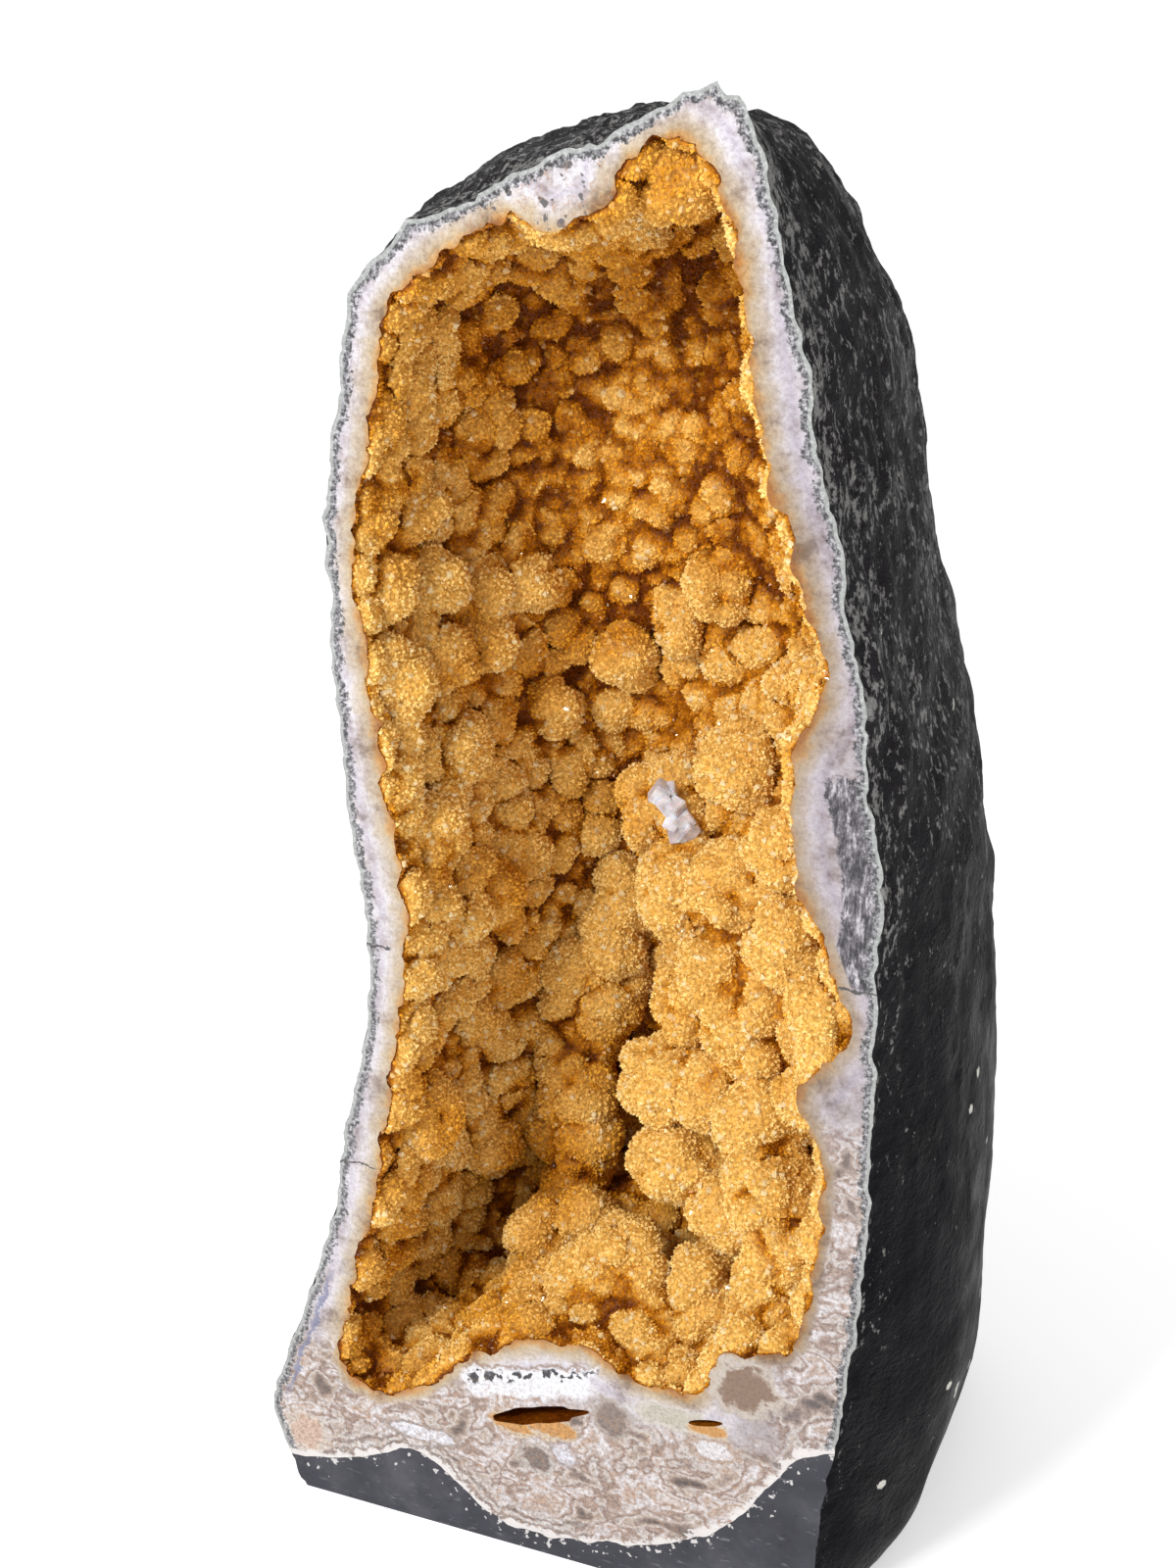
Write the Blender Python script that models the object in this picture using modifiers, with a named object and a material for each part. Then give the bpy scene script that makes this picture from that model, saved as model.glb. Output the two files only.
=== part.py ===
"""Citrine geode: a tall basalt geode, sawn flat at the front and stood in a cast cement foot.

The sawn face looks along -Y and +Z is up. The pieces are modelled behind the sawn face, at y = 0 in
the frame of the empty called sawn_face, and that empty sets them over the origin, which is the middle
of the object's box at the foot's underside.
"""

import math

import bmesh
import bpy
import numpy as np
from mathutils import Vector, noise

OBJECT_NAME = "citrine_geode"

# Driving sizes, in metres
DEPTH = 0.212
FIT_GAP = 0.0003
CRUST_THICKNESS = 0.0065

# Outline of the sawn face, in metres from the foot's middle: each side runs from the foot to the peak
FACE_LEFT = [
    (-0.020, -0.016), (-0.112, -0.016), (-0.124, -0.003), (-0.132, 0.015), (-0.138, 0.040), (-0.130, 0.063),
    (-0.114, 0.104), (-0.102, 0.146), (-0.092, 0.195), (-0.085, 0.246), (-0.089, 0.300), (-0.093, 0.350),
    (-0.095, 0.404), (-0.089, 0.445), (-0.080, 0.482), (-0.064, 0.502), (-0.040, 0.512), (-0.016, 0.525),
    (0.006, 0.533), (0.024, 0.544), (0.040, 0.551),
]
FACE_RIGHT = [
    (-0.020, -0.016), (0.070, -0.016), (0.089, 0.000), (0.092, 0.060), (0.098, 0.105), (0.102, 0.150),
    (0.104, 0.200), (0.103, 0.240), (0.099, 0.290), (0.095, 0.335), (0.087, 0.386), (0.078, 0.424),
    (0.070, 0.462), (0.064, 0.494), (0.059, 0.520), (0.050, 0.544), (0.040, 0.551),
]

# Outline of the rock where it is widest, behind the sawn face
WIDEST_AT = 0.060
WIDEST_LEFT = [
    (-0.020, -0.016), (-0.115, -0.016), (-0.131, 0.010), (-0.139, 0.048), (-0.122, 0.102), (-0.109, 0.152),
    (-0.099, 0.205), (-0.095, 0.255), (-0.098, 0.305), (-0.101, 0.355), (-0.102, 0.405), (-0.098, 0.455),
    (-0.089, 0.490), (-0.067, 0.512), (-0.040, 0.525), (-0.010, 0.535), (0.022, 0.537),
]
WIDEST_RIGHT = [
    (-0.020, -0.016), (0.080, -0.016), (0.105, 0.000), (0.119, 0.040), (0.126, 0.080), (0.128, 0.125),
    (0.126, 0.175), (0.120, 0.250), (0.112, 0.311), (0.102, 0.356), (0.093, 0.400), (0.086, 0.434),
    (0.082, 0.460), (0.075, 0.482), (0.064, 0.507), (0.052, 0.525), (0.039, 0.535), (0.022, 0.537),
]

# Outline of the hollow in the sawn face, from its sill to its peak
HOLLOW_LEFT = [
    (0.000, 0.100), (-0.024, 0.096), (-0.048, 0.084), (-0.064, 0.067), (-0.082, 0.056), (-0.100, 0.057),
    (-0.106, 0.071), (-0.100, 0.097), (-0.088, 0.145), (-0.078, 0.200), (-0.070, 0.262), (-0.077, 0.312),
    (-0.083, 0.365), (-0.085, 0.398), (-0.078, 0.436), (-0.070, 0.476), (-0.055, 0.494), (-0.026, 0.511),
    (-0.014, 0.505), (0.004, 0.513), (0.012, 0.528), (0.030, 0.537),
]
HOLLOW_RIGHT = [
    (0.000, 0.100), (0.015, 0.092), (0.042, 0.091), (0.052, 0.113), (0.078, 0.121), (0.085, 0.158),
    (0.087, 0.198), (0.078, 0.224), (0.092, 0.251), (0.082, 0.284), (0.072, 0.312), (0.071, 0.343),
    (0.080, 0.366), (0.074, 0.400), (0.061, 0.436), (0.053, 0.474), (0.048, 0.508), (0.038, 0.528),
    (0.030, 0.537),
]

# Where stone and cement meet, across the front from left to right
SEAM = [
    (-0.170, 0.012), (-0.129, 0.014), (-0.106, 0.019), (-0.074, 0.032), (-0.056, 0.023), (-0.040, 0.011),
    (-0.016, 0.0085), (0.009, 0.0135), (0.037, 0.024), (0.059, 0.041), (0.074, 0.064), (0.090, 0.080),
    (0.150, 0.086),
]


CURVE_STEPS = 24
EASING_STEPS = 8


def smooth_path(points, count):
    """Points at equal steps along the smooth curve through the given points."""
    knots = np.array(points)
    before = 2 * knots[:1] - knots[1:2]
    after = 2 * knots[-1:] - knots[-2:-1]
    padded = np.vstack([before, knots, after])
    steps = np.linspace(0, 1, CURVE_STEPS, endpoint=False)[:, None]
    pieces = []
    for a, b, c, d in zip(padded, padded[1:], padded[2:], padded[3:]):
        linear = (c - a) * steps
        square = (2 * a - 5 * b + 4 * c - d) * steps**2
        cube = (3 * b - a - 3 * c + d) * steps**3
        pieces.append(b + 0.5 * (linear + square + cube))
    dense = np.vstack(pieces + [knots[-1:]])
    lengths = np.r_[0, np.cumsum(np.linalg.norm(np.diff(dense, axis=0), axis=1))]
    wanted = np.linspace(0, lengths[-1], count)
    return np.stack([np.interp(wanted, lengths, dense[:, i]) for i in range(dense.shape[1])], axis=1)


def smooth_step(low, high, values):
    """Zero below low, one above high, and a smooth rise between them."""
    share = np.clip((values - low) / (high - low), 0, 1)
    return share * share * (3 - 2 * share)


def outline_sides(left, right, rows, grow=0.0):
    """Both sides of an outline in equal steps, grown outwards by a distance and eased at its corners."""
    fine = EASING_STEPS if grow else 1
    sides = [smooth_path(left, rows * fine + 1), smooth_path(right, rows * fine + 1)]
    if grow:
        loop = np.vstack([sides[0], sides[1][-2:0:-1]])
        along = np.roll(loop, -1, axis=0) - np.roll(loop, 1, axis=0)
        outward = np.stack([-along[:, 1], along[:, 0]], axis=1)
        outward /= np.linalg.norm(outward, axis=1, keepdims=True)
        loop = loop + grow * outward
        for _ in range(fine):
            loop = (np.roll(loop, 1, axis=0) + 2 * loop + np.roll(loop, -1, axis=0)) / 4
        last = rows * fine
        sides = [loop[:last + 1:fine], np.vstack([loop[:1], loop[:last - 1:-1]])[::fine]]
    return sides


def bowl_surface(mesh, sides, spine_ends, rings, shape, lip):
    """Adds a surface that goes back from an outline at y = 0 and closes on a straight spine behind it.

    shape gives, for rim points, spine points and a turn from 0 at the rim to 1 at the back, the points
    of that ring. The surface also stands forward of y = 0 by the lip, and its front loop is returned.
    """
    low, high = np.array(spine_ends)
    heights = (sides[0][:, 1] + sides[1][:, 1]) / 2
    share = np.clip((heights - low[1]) / (high[1] - low[1]), 0, 1)
    spine = low + share[:, None] * (high - low)
    fronts = []
    for side, rim in enumerate(sides):
        columns = [np.stack([rim[:, 0], np.full(len(rim), -lip), rim[:, 1]], axis=1)]
        columns += [shape(rim, spine, turn) for turn in np.linspace(0, 1, rings + 1)]
        grid = [[mesh.verts.new(point) for point in column] for column in columns]
        for inner, outer in zip(grid, grid[1:]):
            for row in range(len(rim) - 1):
                corners = [inner[row], inner[row + 1], outer[row + 1], outer[row]]
                mesh.faces.new(corners if side == 0 else corners[::-1])
        fronts.append(grid[0])
    return fronts


def close_seams(mesh):
    bmesh.ops.remove_doubles(mesh, verts=mesh.verts, dist=1e-7)
    bmesh.ops.dissolve_degenerate(mesh, edges=mesh.edges, dist=1e-7)
    bmesh.ops.recalc_face_normals(mesh, faces=mesh.faces)


def bowl(sides, spine_ends, rings, shape, lip):
    """The closed solid inside a bowl surface."""
    mesh = bmesh.new()
    left, right = bowl_surface(mesh, sides, spine_ends, rings, shape, lip)
    mesh.faces.new(right + left[::-1])
    close_seams(mesh)
    return mesh


# Body: how far the rock goes back behind the face, and how square it rounds off there
BODY_SPINE = ((-0.012, 0.100), (0.000, 0.400))
BODY_TOP = 0.550
BACK_POWER = 1.85
SIDE_POWER = 2.6
TOP_POWER = 2.0
FOOT_POWER = 7.0
SIDE_TO_END_SLOPES = (0.1, 0.95)
WIDEST_TURN = 0.3


def body_sides(rows):
    """Both sides of the rock: face outline and widest outline, side by side."""
    face = outline_sides(FACE_LEFT, FACE_RIGHT, rows)
    widest = outline_sides(WIDEST_LEFT, WIDEST_RIGHT, rows)
    return [np.hstack([near, far]) for near, far in zip(face, widest)]


def body_ring(rim, spine, turn):
    """One ring of the rock's outside: it widens behind the face, then rounds off to the back."""
    widened = min(turn / WIDEST_TURN, 1)
    outline = rim[:, :2] + math.sin(widened * math.pi / 2) * (rim[:, 2:] - rim[:, :2])
    reach = outline - spine
    slope = reach[:, 1] / np.linalg.norm(reach, axis=1)
    up = smooth_step(*SIDE_TO_END_SLOPES, slope)
    down = smooth_step(*SIDE_TO_END_SLOPES, -slope)
    power = SIDE_POWER + (TOP_POWER - SIDE_POWER) * up + (FOOT_POWER - SIDE_POWER) * down
    rise = np.clip((spine[:, 1] - BODY_SPINE[0][1]) / (BODY_TOP - BODY_SPINE[0][1]), 0, 1)
    depth = DEPTH * (1 - rise**BACK_POWER) ** (1 / BACK_POWER)
    angle = max(turn - WIDEST_TURN, 0) / (1 - WIDEST_TURN) * math.pi / 2
    shrink = math.cos(angle) ** (2 / power) if turn < 1 else np.zeros(len(rim))
    back = WIDEST_AT * widened + (depth - WIDEST_AT) * math.sin(angle) ** (2 / power)
    flat = spine + shrink[:, None] * reach
    return np.stack([flat[:, 0], back, flat[:, 1]], axis=1)


# Hollow: its depth behind the face and how square its floor is
HOLLOW_SPINE = ((-0.005, 0.150), (-0.010, 0.430))
HOLLOW_DEPTH = 0.122
HOLLOW_TOP_DEPTH = 0.088
HOLLOW_NARROWS = (0.28, 0.43)
HOLLOW_POWER = 2.4


def hollow_ring(grow):
    """The ring function of the hollow, or of the hollow grown outwards by a distance."""

    def ring(rim, spine, turn):
        high = smooth_step(*HOLLOW_NARROWS, spine[:, 1])
        depth = HOLLOW_DEPTH + (HOLLOW_TOP_DEPTH - HOLLOW_DEPTH) * high + grow
        angle = turn * math.pi / 2
        shrink = math.cos(angle) ** (2 / HOLLOW_POWER) if turn < 1 else 0.0
        back = depth * math.sin(angle) ** (2 / HOLLOW_POWER)
        flat = spine + shrink * (rim - spine)
        return np.stack([flat[:, 0], back, flat[:, 1]], axis=1)

    return ring


# Lumps of the crust: middle (x, y, z) and radius of each ball that has grown on the wall, in metres
RIGHT_MASS = [
    (0.030, 0.078, 0.310, 0.012), (0.008, 0.078, 0.260, 0.015), (0.030, 0.070, 0.265, 0.014),
    (0.056, 0.055, 0.293, 0.011), (0.030, 0.066, 0.231, 0.016), (0.044, 0.060, 0.216, 0.015),
    (0.016, 0.070, 0.218, 0.012), (0.063, 0.048, 0.259, 0.013), (0.010, 0.066, 0.183, 0.015),
    (0.029, 0.060, 0.188, 0.013), (0.050, 0.050, 0.183, 0.013), (0.016, 0.060, 0.153, 0.013),
    (0.075, 0.030, 0.212, 0.010), (0.057, 0.042, 0.160, 0.014), (0.038, 0.050, 0.142, 0.012),
    (0.066, 0.032, 0.143, 0.012), (0.083, 0.014, 0.252, 0.009), (0.086, 0.012, 0.237, 0.008),
]
FLOOR_FINGERS = [
    (0.033, 0.040, 0.115, 0.009), (0.034, 0.038, 0.103, 0.010), (0.036, 0.035, 0.092, 0.010),
    (0.062, 0.030, 0.131, 0.010), (0.065, 0.027, 0.119, 0.011), (0.069, 0.022, 0.112, 0.009),
]
FLOOR_MOUND = [
    (-0.002, 0.046, 0.111, 0.013), (-0.012, 0.042, 0.094, 0.018), (-0.032, 0.038, 0.081, 0.015),
    (0.008, 0.036, 0.093, 0.015), (-0.045, 0.028, 0.073, 0.012), (0.017, 0.026, 0.084, 0.011),
    (-0.044, 0.062, 0.102, 0.010), (-0.026, 0.066, 0.112, 0.009),
]
BACK_PILLAR = [
    (-0.043, 0.096, 0.207, 0.012), (-0.045, 0.098, 0.179, 0.013), (-0.046, 0.098, 0.150, 0.013),
    (-0.044, 0.094, 0.124, 0.012), (-0.038, 0.084, 0.106, 0.011), (-0.026, 0.106, 0.250, 0.013),
]
LEFT_KNOBS = [
    (-0.081, 0.030, 0.172, 0.012), (-0.075, 0.078, 0.131, 0.009), (-0.069, 0.044, 0.249, 0.009),
    (-0.073, 0.030, 0.287, 0.010), (-0.064, 0.060, 0.253, 0.009), (-0.081, 0.022, 0.347, 0.009),
    (-0.074, 0.048, 0.348, 0.009), (-0.069, 0.066, 0.350, 0.008), (-0.084, 0.020, 0.383, 0.008),
    (-0.077, 0.044, 0.378, 0.009), (-0.068, 0.068, 0.368, 0.008), (-0.058, 0.082, 0.368, 0.008),
    (-0.079, 0.038, 0.403, 0.008), (-0.070, 0.050, 0.313, 0.009), (-0.054, 0.094, 0.318, 0.008),
]
UPPER_KNOBS = [
    (0.016, 0.092, 0.374, 0.010), (-0.006, 0.102, 0.358, 0.007), (-0.025, 0.106, 0.337, 0.009),
    (0.030, 0.088, 0.310, 0.010), (0.021, 0.020, 0.521, 0.013), (-0.002, 0.100, 0.351, 0.007),
    (-0.001, 0.097, 0.281, 0.016),
]
PLACED_LUMPS = RIGHT_MASS + FLOOR_FINGERS + FLOOR_MOUND + BACK_PILLAR + LEFT_KNOBS + UPPER_KNOBS

# The right of the back wall swells forward as one broad mass
MASS_MIDDLE = (0.046, 0.222)
MASS_HALF_WIDTH = 0.046
MASS_HALF_HEIGHT = 0.100
MASS_RISE = 0.056

# Small lumps all over the wall, and the grid the hollow's wall is drawn with
SMALL_LUMPS = 230
SMALL_LUMP_RADIUS = (0.0045, 0.0095)
LUMPS_FROM = 0.006
LUMP_SEED = 7
CRUST_LIP = 0.010
HOLLOW_ROWS = 110
HOLLOW_RINGS = 30


def inside_ring(rim, spine, turn):
    """One ring of the hollow's inner wall: the plain hollow, with the right of its back pushed forward."""
    points = hollow_ring(0.0)(rim, spine, turn)
    across = (points[:, 0] - MASS_MIDDLE[0]) / MASS_HALF_WIDTH
    upward = (points[:, 2] - MASS_MIDDLE[1]) / MASS_HALF_HEIGHT
    rise = MASS_RISE * np.exp(-(across**2) - np.abs(upward) ** 3)
    points[:, 1] -= rise * smooth_step(0.0, HOLLOW_DEPTH, points[:, 1])
    return points


def small_lumps():
    """Seeded small balls all over the hollow's wall, sunk a little into it."""
    dice = np.random.default_rng(LUMP_SEED)
    sides = outline_sides(HOLLOW_LEFT, HOLLOW_RIGHT, HOLLOW_ROWS)
    mesh = bmesh.new()
    bowl_surface(mesh, sides, HOLLOW_SPINE, HOLLOW_RINGS, inside_ring, 0.0)
    places = np.array([face.calc_center_median() for face in mesh.faces])
    areas = np.array([face.calc_area() for face in mesh.faces])
    mesh.free()
    areas[places[:, 1] < LUMPS_FROM] = 0
    chosen = dice.choice(len(places), SMALL_LUMPS, replace=False, p=areas / areas.sum())
    radii = dice.uniform(*SMALL_LUMP_RADIUS, SMALL_LUMPS)
    return [(*places[pick], radius) for pick, radius in zip(chosen, radii)]


def add_balls(mesh, balls):
    """Adds a ball for each middle and radius."""
    pattern = bmesh.new()
    bmesh.ops.create_icosphere(pattern, subdivisions=3, radius=1)
    corners = [vert.co.copy() for vert in pattern.verts]
    faces = [[vert.index for vert in face.verts] for face in pattern.faces]
    pattern.free()
    for x, y, z, radius in balls:
        made = [mesh.verts.new(Vector((x, y, z)) + corner * float(radius)) for corner in corners]
        for face in faces:
            mesh.faces.new([made[i] for i in face])


def lumpy_crust():
    """A thick open bowl round the hollow's space, with every lump standing in it as a ball."""
    mesh = bmesh.new()
    inner = outline_sides(HOLLOW_LEFT, HOLLOW_RIGHT, HOLLOW_ROWS)
    outer = outline_sides(HOLLOW_LEFT, HOLLOW_RIGHT, HOLLOW_ROWS, 2 * CRUST_THICKNESS)
    inner_front = bowl_surface(mesh, inner, HOLLOW_SPINE, HOLLOW_RINGS, inside_ring, CRUST_LIP)
    outer_ring = hollow_ring(2 * CRUST_THICKNESS)
    outer_front = bowl_surface(mesh, outer, HOLLOW_SPINE, HOLLOW_RINGS, outer_ring, CRUST_LIP)
    for inside, outside in zip(inner_front, outer_front):
        for row in range(HOLLOW_ROWS):
            mesh.faces.new([inside[row], inside[row + 1], outside[row + 1], outside[row]])
    close_seams(mesh)
    add_balls(mesh, PLACED_LUMPS + small_lumps())
    return mesh


# Rough rock outside: bulges, smaller lumps on the upper half, and a smoother lower half
BULGE_SIZE = 0.070
BULGE_RISE = 0.0035
LUMP_SIZE = 0.026
LUMP_RISE = 0.0022
SMOOTH_BELOW = 0.12
ROUGH_ABOVE = 0.40
SMOOTHEST_SHARE = 0.3
BULGE_PLACE = Vector((3.1, 0, 0))
LUMP_PLACE = Vector((0, 7.7, 0))


def roughen_rock(mesh):
    """Moves the rock's outside in and out along its normals, less so near the foot."""
    mesh.normal_update()
    moved = []
    for vert in mesh.verts:
        bulge = BULGE_RISE * noise.noise(vert.co / BULGE_SIZE + BULGE_PLACE)
        lump = LUMP_RISE * noise.noise(vert.co / LUMP_SIZE + LUMP_PLACE)
        height = float(smooth_step(SMOOTH_BELOW, ROUGH_ABOVE, vert.co.z))
        rough = SMOOTHEST_SHARE + (1 - SMOOTHEST_SHARE) * height
        moved.append(vert.co + vert.normal * (bulge + lump * rough))
    for vert, place in zip(mesh.verts, moved):
        vert.co = place


# Slit pocket in the agate below the hollow
POCKET_MIDDLE = (-0.022, 0.000, 0.0645)
POCKET_HALF_SIZE = (0.021, 0.018, 0.0036)
POCKET_TILT = math.radians(-20)

# Calcite cluster: a root in a round dish of the crust, and the way, length and width of each blade
CALCITE_PLACE = (0.003, 0.083, 0.2865)
DISH_RADIUS = 0.0145
DISH_FORWARD = 0.006
ROOT_RADIUS = 0.0065
CALCITE_BLADES = [
    ((-0.45, -0.60, 0.87), 0.0150, 0.0095),
    ((0.43, -0.79, 0.47), 0.0120, 0.0095),
    ((0.58, -0.70, -0.65), 0.0155, 0.0105),
    ((0.80, -0.60, 0.15), 0.0125, 0.0080),
    ((0.25, -0.55, 0.90), 0.0140, 0.0070),
    ((-0.19, -0.88, -0.24), 0.0110, 0.0085),
]
BLADE_FLATNESS = 0.60
BLADE_TIP_SHARE = 0.70

# Space behind the sawn face and above the floor, with room for the whole stone
BLOCK_SIZE = (0.6, 0.4, 0.8)
PAST_THE_STONE = 0.05

# How finely the surfaces are drawn, and how far they stand forward of the face for the saw
BODY_LIP = 0.010
BODY_ROWS = 64
BODY_RINGS = 26
BODY_TRIANGLES = 2700
CRUST_GRAIN = 0.0016
CRUST_TRIANGLES = 4500
WALL_ROWS = 34
WALL_RINGS = 7
WALL_LIP = 0.005


def new_collection(name):
    collection = bpy.data.collections.new(name)
    bpy.context.scene.collection.children.link(collection)
    return collection


def new_material(name, colour, roughness, transmission=0.0):
    material = bpy.data.materials.new(name)
    material.use_nodes = True
    surface = material.node_tree.nodes["Principled BSDF"]
    surface.inputs["Base Color"].default_value = (*colour, 1.0)
    surface.inputs["Roughness"].default_value = roughness
    surface.inputs["Metallic"].default_value = 0.0
    surface.inputs["Transmission Weight"].default_value = transmission
    return material


def rock_material():
    return new_material("painted_rock", (0.045, 0.044, 0.046), 0.75)


def citrine_material():
    return new_material("citrine", (0.62, 0.33, 0.06), 0.30, transmission=0.2)


def calcite_material():
    return new_material("calcite", (0.82, 0.78, 0.80), 0.35)


def cement_material():
    return new_material("painted_cement", (0.085, 0.090, 0.100), 0.80)


def new_object(name, mesh, collection, parent):
    """An object from a bmesh, in a collection and on the sawn face's empty."""
    data = bpy.data.meshes.new(name)
    bmesh.ops.triangulate(mesh, faces=[face for face in mesh.faces if len(face.verts) > 4])
    mesh.to_mesh(data)
    mesh.free()
    made = bpy.data.objects.new(name, data)
    collection.objects.link(made)
    made.parent = parent
    return made


def thin_out(made, triangles):
    """Fewer triangles where the shape is plain, down to about the wanted number."""
    bpy.context.view_layer.update()
    evaluated = made.evaluated_get(bpy.context.evaluated_depsgraph_get())
    count = sum(len(polygon.vertices) - 2 for polygon in evaluated.data.polygons)
    modifier = made.modifiers.new("thin_out", "DECIMATE")
    modifier.ratio = triangles / count
    modifier.use_collapse_triangulate = True


def melt_together(made, grain):
    """One skin over everything that overlaps in an object."""
    modifier = made.modifiers.new("melt_together", "REMESH")
    modifier.mode = "VOXEL"
    modifier.voxel_size = grain


def cut(made, cutter, operation="DIFFERENCE"):
    modifier = made.modifiers.new(operation.lower() + "_" + cutter.name, "BOOLEAN")
    modifier.operation = operation
    modifier.solver = "EXACT"
    modifier.object = cutter


def move_to(made, collection, parent):
    """Puts an object that an operator made into a collection and on the sawn face's empty."""
    for owner in list(made.users_collection):
        owner.objects.unlink(made)
    collection.objects.link(made)
    made.parent = parent


def as_cutter(made):
    made.hide_render = True
    made.display_type = "WIRE"
    return made


def rock_body(name, collection, parent):
    """The whole stone with its foot, before any cut."""
    mesh = bowl(body_sides(BODY_ROWS), BODY_SPINE, BODY_RINGS, body_ring, BODY_LIP)
    roughen_rock(mesh)
    body = new_object(name, mesh, collection, parent)
    thin_out(body, BODY_TRIANGLES)
    return body


def sawn_block(collection, parent):
    """The space behind the sawn face and above the floor, which the saw leaves."""
    middle = (0, BLOCK_SIZE[1] / 2, BLOCK_SIZE[2] / 2)
    bpy.ops.mesh.primitive_cube_add(size=1, location=middle, scale=BLOCK_SIZE)
    block = bpy.context.object
    block.name = "sawn_block"
    move_to(block, collection, parent)
    return as_cutter(block)


def foot_block(name, lowered, collection, parent):
    """Everything below the seam between stone and cement, as a bar along Y."""
    top = [(x, z - lowered) for x, z in SEAM]
    outline = top + [(SEAM[-1][0], -PAST_THE_STONE), (SEAM[0][0], -PAST_THE_STONE)]
    mesh = bmesh.new()
    front = [mesh.verts.new((x, -PAST_THE_STONE, z)) for x, z in outline]
    back = [mesh.verts.new((x, DEPTH + PAST_THE_STONE, z)) for x, z in outline]
    mesh.faces.new(front)
    mesh.faces.new(back[::-1])
    for i in range(len(outline)):
        j = (i + 1) % len(outline)
        mesh.faces.new([front[j], front[i], back[i], back[j]])
    bmesh.ops.recalc_face_normals(mesh, faces=mesh.faces)
    return as_cutter(new_object(name, mesh, collection, parent))


def smooth_hollow(name, grow, collection, parent):
    """The plain hollow, grown outwards, up to the wall that the crust sits on."""
    sides = outline_sides(HOLLOW_LEFT, HOLLOW_RIGHT, WALL_ROWS, grow)
    mesh = bowl(sides, HOLLOW_SPINE, WALL_RINGS, hollow_ring(grow), WALL_LIP)
    return as_cutter(new_object(name, mesh, collection, parent))


def slit_pocket(collection, parent):
    bpy.ops.mesh.primitive_uv_sphere_add(segments=20, ring_count=10, radius=1, location=POCKET_MIDDLE)
    pocket = bpy.context.object
    pocket.name = "slit_pocket"
    pocket.scale = POCKET_HALF_SIZE
    pocket.rotation_euler = (0, POCKET_TILT, 0)
    move_to(pocket, collection, parent)
    return as_cutter(pocket)


def calcite_dish(collection, parent):
    """The round dish in the crust that the calcite sits in."""
    place = Vector(CALCITE_PLACE) - Vector((0, DISH_FORWARD, 0))
    bpy.ops.mesh.primitive_uv_sphere_add(segments=16, ring_count=8, radius=DISH_RADIUS, location=place)
    dish = bpy.context.object
    dish.name = "calcite_dish"
    move_to(dish, collection, parent)
    return as_cutter(dish)


def root_place():
    """The middle of the calcite's root, which just clears the bottom of its dish."""
    back = DISH_RADIUS - DISH_FORWARD - FIT_GAP - ROOT_RADIUS
    return Vector(CALCITE_PLACE) + Vector((0, back, 0))


def calcite_blade(index, collection, parent):
    """One flat, six-sided blade that starts inside the root."""
    way, length, width = CALCITE_BLADES[index]
    mesh = bmesh.new()
    bmesh.ops.create_cone(
        mesh,
        cap_ends=True,
        segments=6,
        radius1=width / 2,
        radius2=width / 2 * BLADE_TIP_SHARE,
        depth=length,
    )
    bmesh.ops.translate(mesh, verts=mesh.verts, vec=(0, 0, length / 2))
    bmesh.ops.scale(mesh, verts=mesh.verts, vec=(1, BLADE_FLATNESS, 1))
    blade = new_object(f"calcite_blade_{index + 1}", mesh, collection, parent)
    blade.location = root_place()
    blade.rotation_euler = Vector(way).to_track_quat("Z", "X").to_euler()
    return as_cutter(blade)


def geode_shell(parts, cutters, parent, block):
    shell = rock_body("geode_shell", parts, parent)
    cut(shell, block, "INTERSECT")
    cut(shell, foot_block("below_seam", 0.0, cutters, parent))
    cut(shell, smooth_hollow("hollow", CRUST_THICKNESS + FIT_GAP, cutters, parent))
    cut(shell, slit_pocket(cutters, parent))
    shell.data.materials.append(rock_material())
    return shell


def cement_foot(parts, cutters, parent, block):
    foot = rock_body("cement_foot", parts, parent)
    cut(foot, block, "INTERSECT")
    cut(foot, foot_block("foot_space", FIT_GAP, cutters, parent), "INTERSECT")
    foot.data.materials.append(cement_material())
    return foot


def citrine_crust(parts, cutters, parent, block):
    crust = new_object("citrine_crust", lumpy_crust(), parts, parent)
    melt_together(crust, CRUST_GRAIN)
    thin_out(crust, CRUST_TRIANGLES)
    cut(crust, smooth_hollow("crust_wall", CRUST_THICKNESS, cutters, parent), "INTERSECT")
    cut(crust, block, "INTERSECT")
    cut(crust, calcite_dish(cutters, parent))
    crust.data.materials.append(citrine_material())
    return crust


def calcite_cluster(parts, cutters, parent):
    place = root_place()
    bpy.ops.mesh.primitive_uv_sphere_add(segments=12, ring_count=8, radius=ROOT_RADIUS, location=place)
    cluster = bpy.context.object
    cluster.name = "calcite_cluster"
    move_to(cluster, parts, parent)
    for index in range(len(CALCITE_BLADES)):
        cut(cluster, calcite_blade(index, cutters, parent), "UNION")
    cluster.data.materials.append(calcite_material())
    return cluster


def stand_over_origin(pieces, empty):
    """Moves the empty so that the middle of the pieces' box is over the origin."""
    bpy.context.view_layer.update()
    graph = bpy.context.evaluated_depsgraph_get()
    corners = []
    for piece in pieces:
        made = piece.evaluated_get(graph)
        corners += [made.matrix_world @ vert.co for vert in made.to_mesh().vertices]
        made.to_mesh_clear()
    corners = np.array(corners)
    middle = (corners.min(axis=0) + corners.max(axis=0)) / 2
    empty.location = (-middle[0], -middle[1], -corners[:, 2].min())


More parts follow.
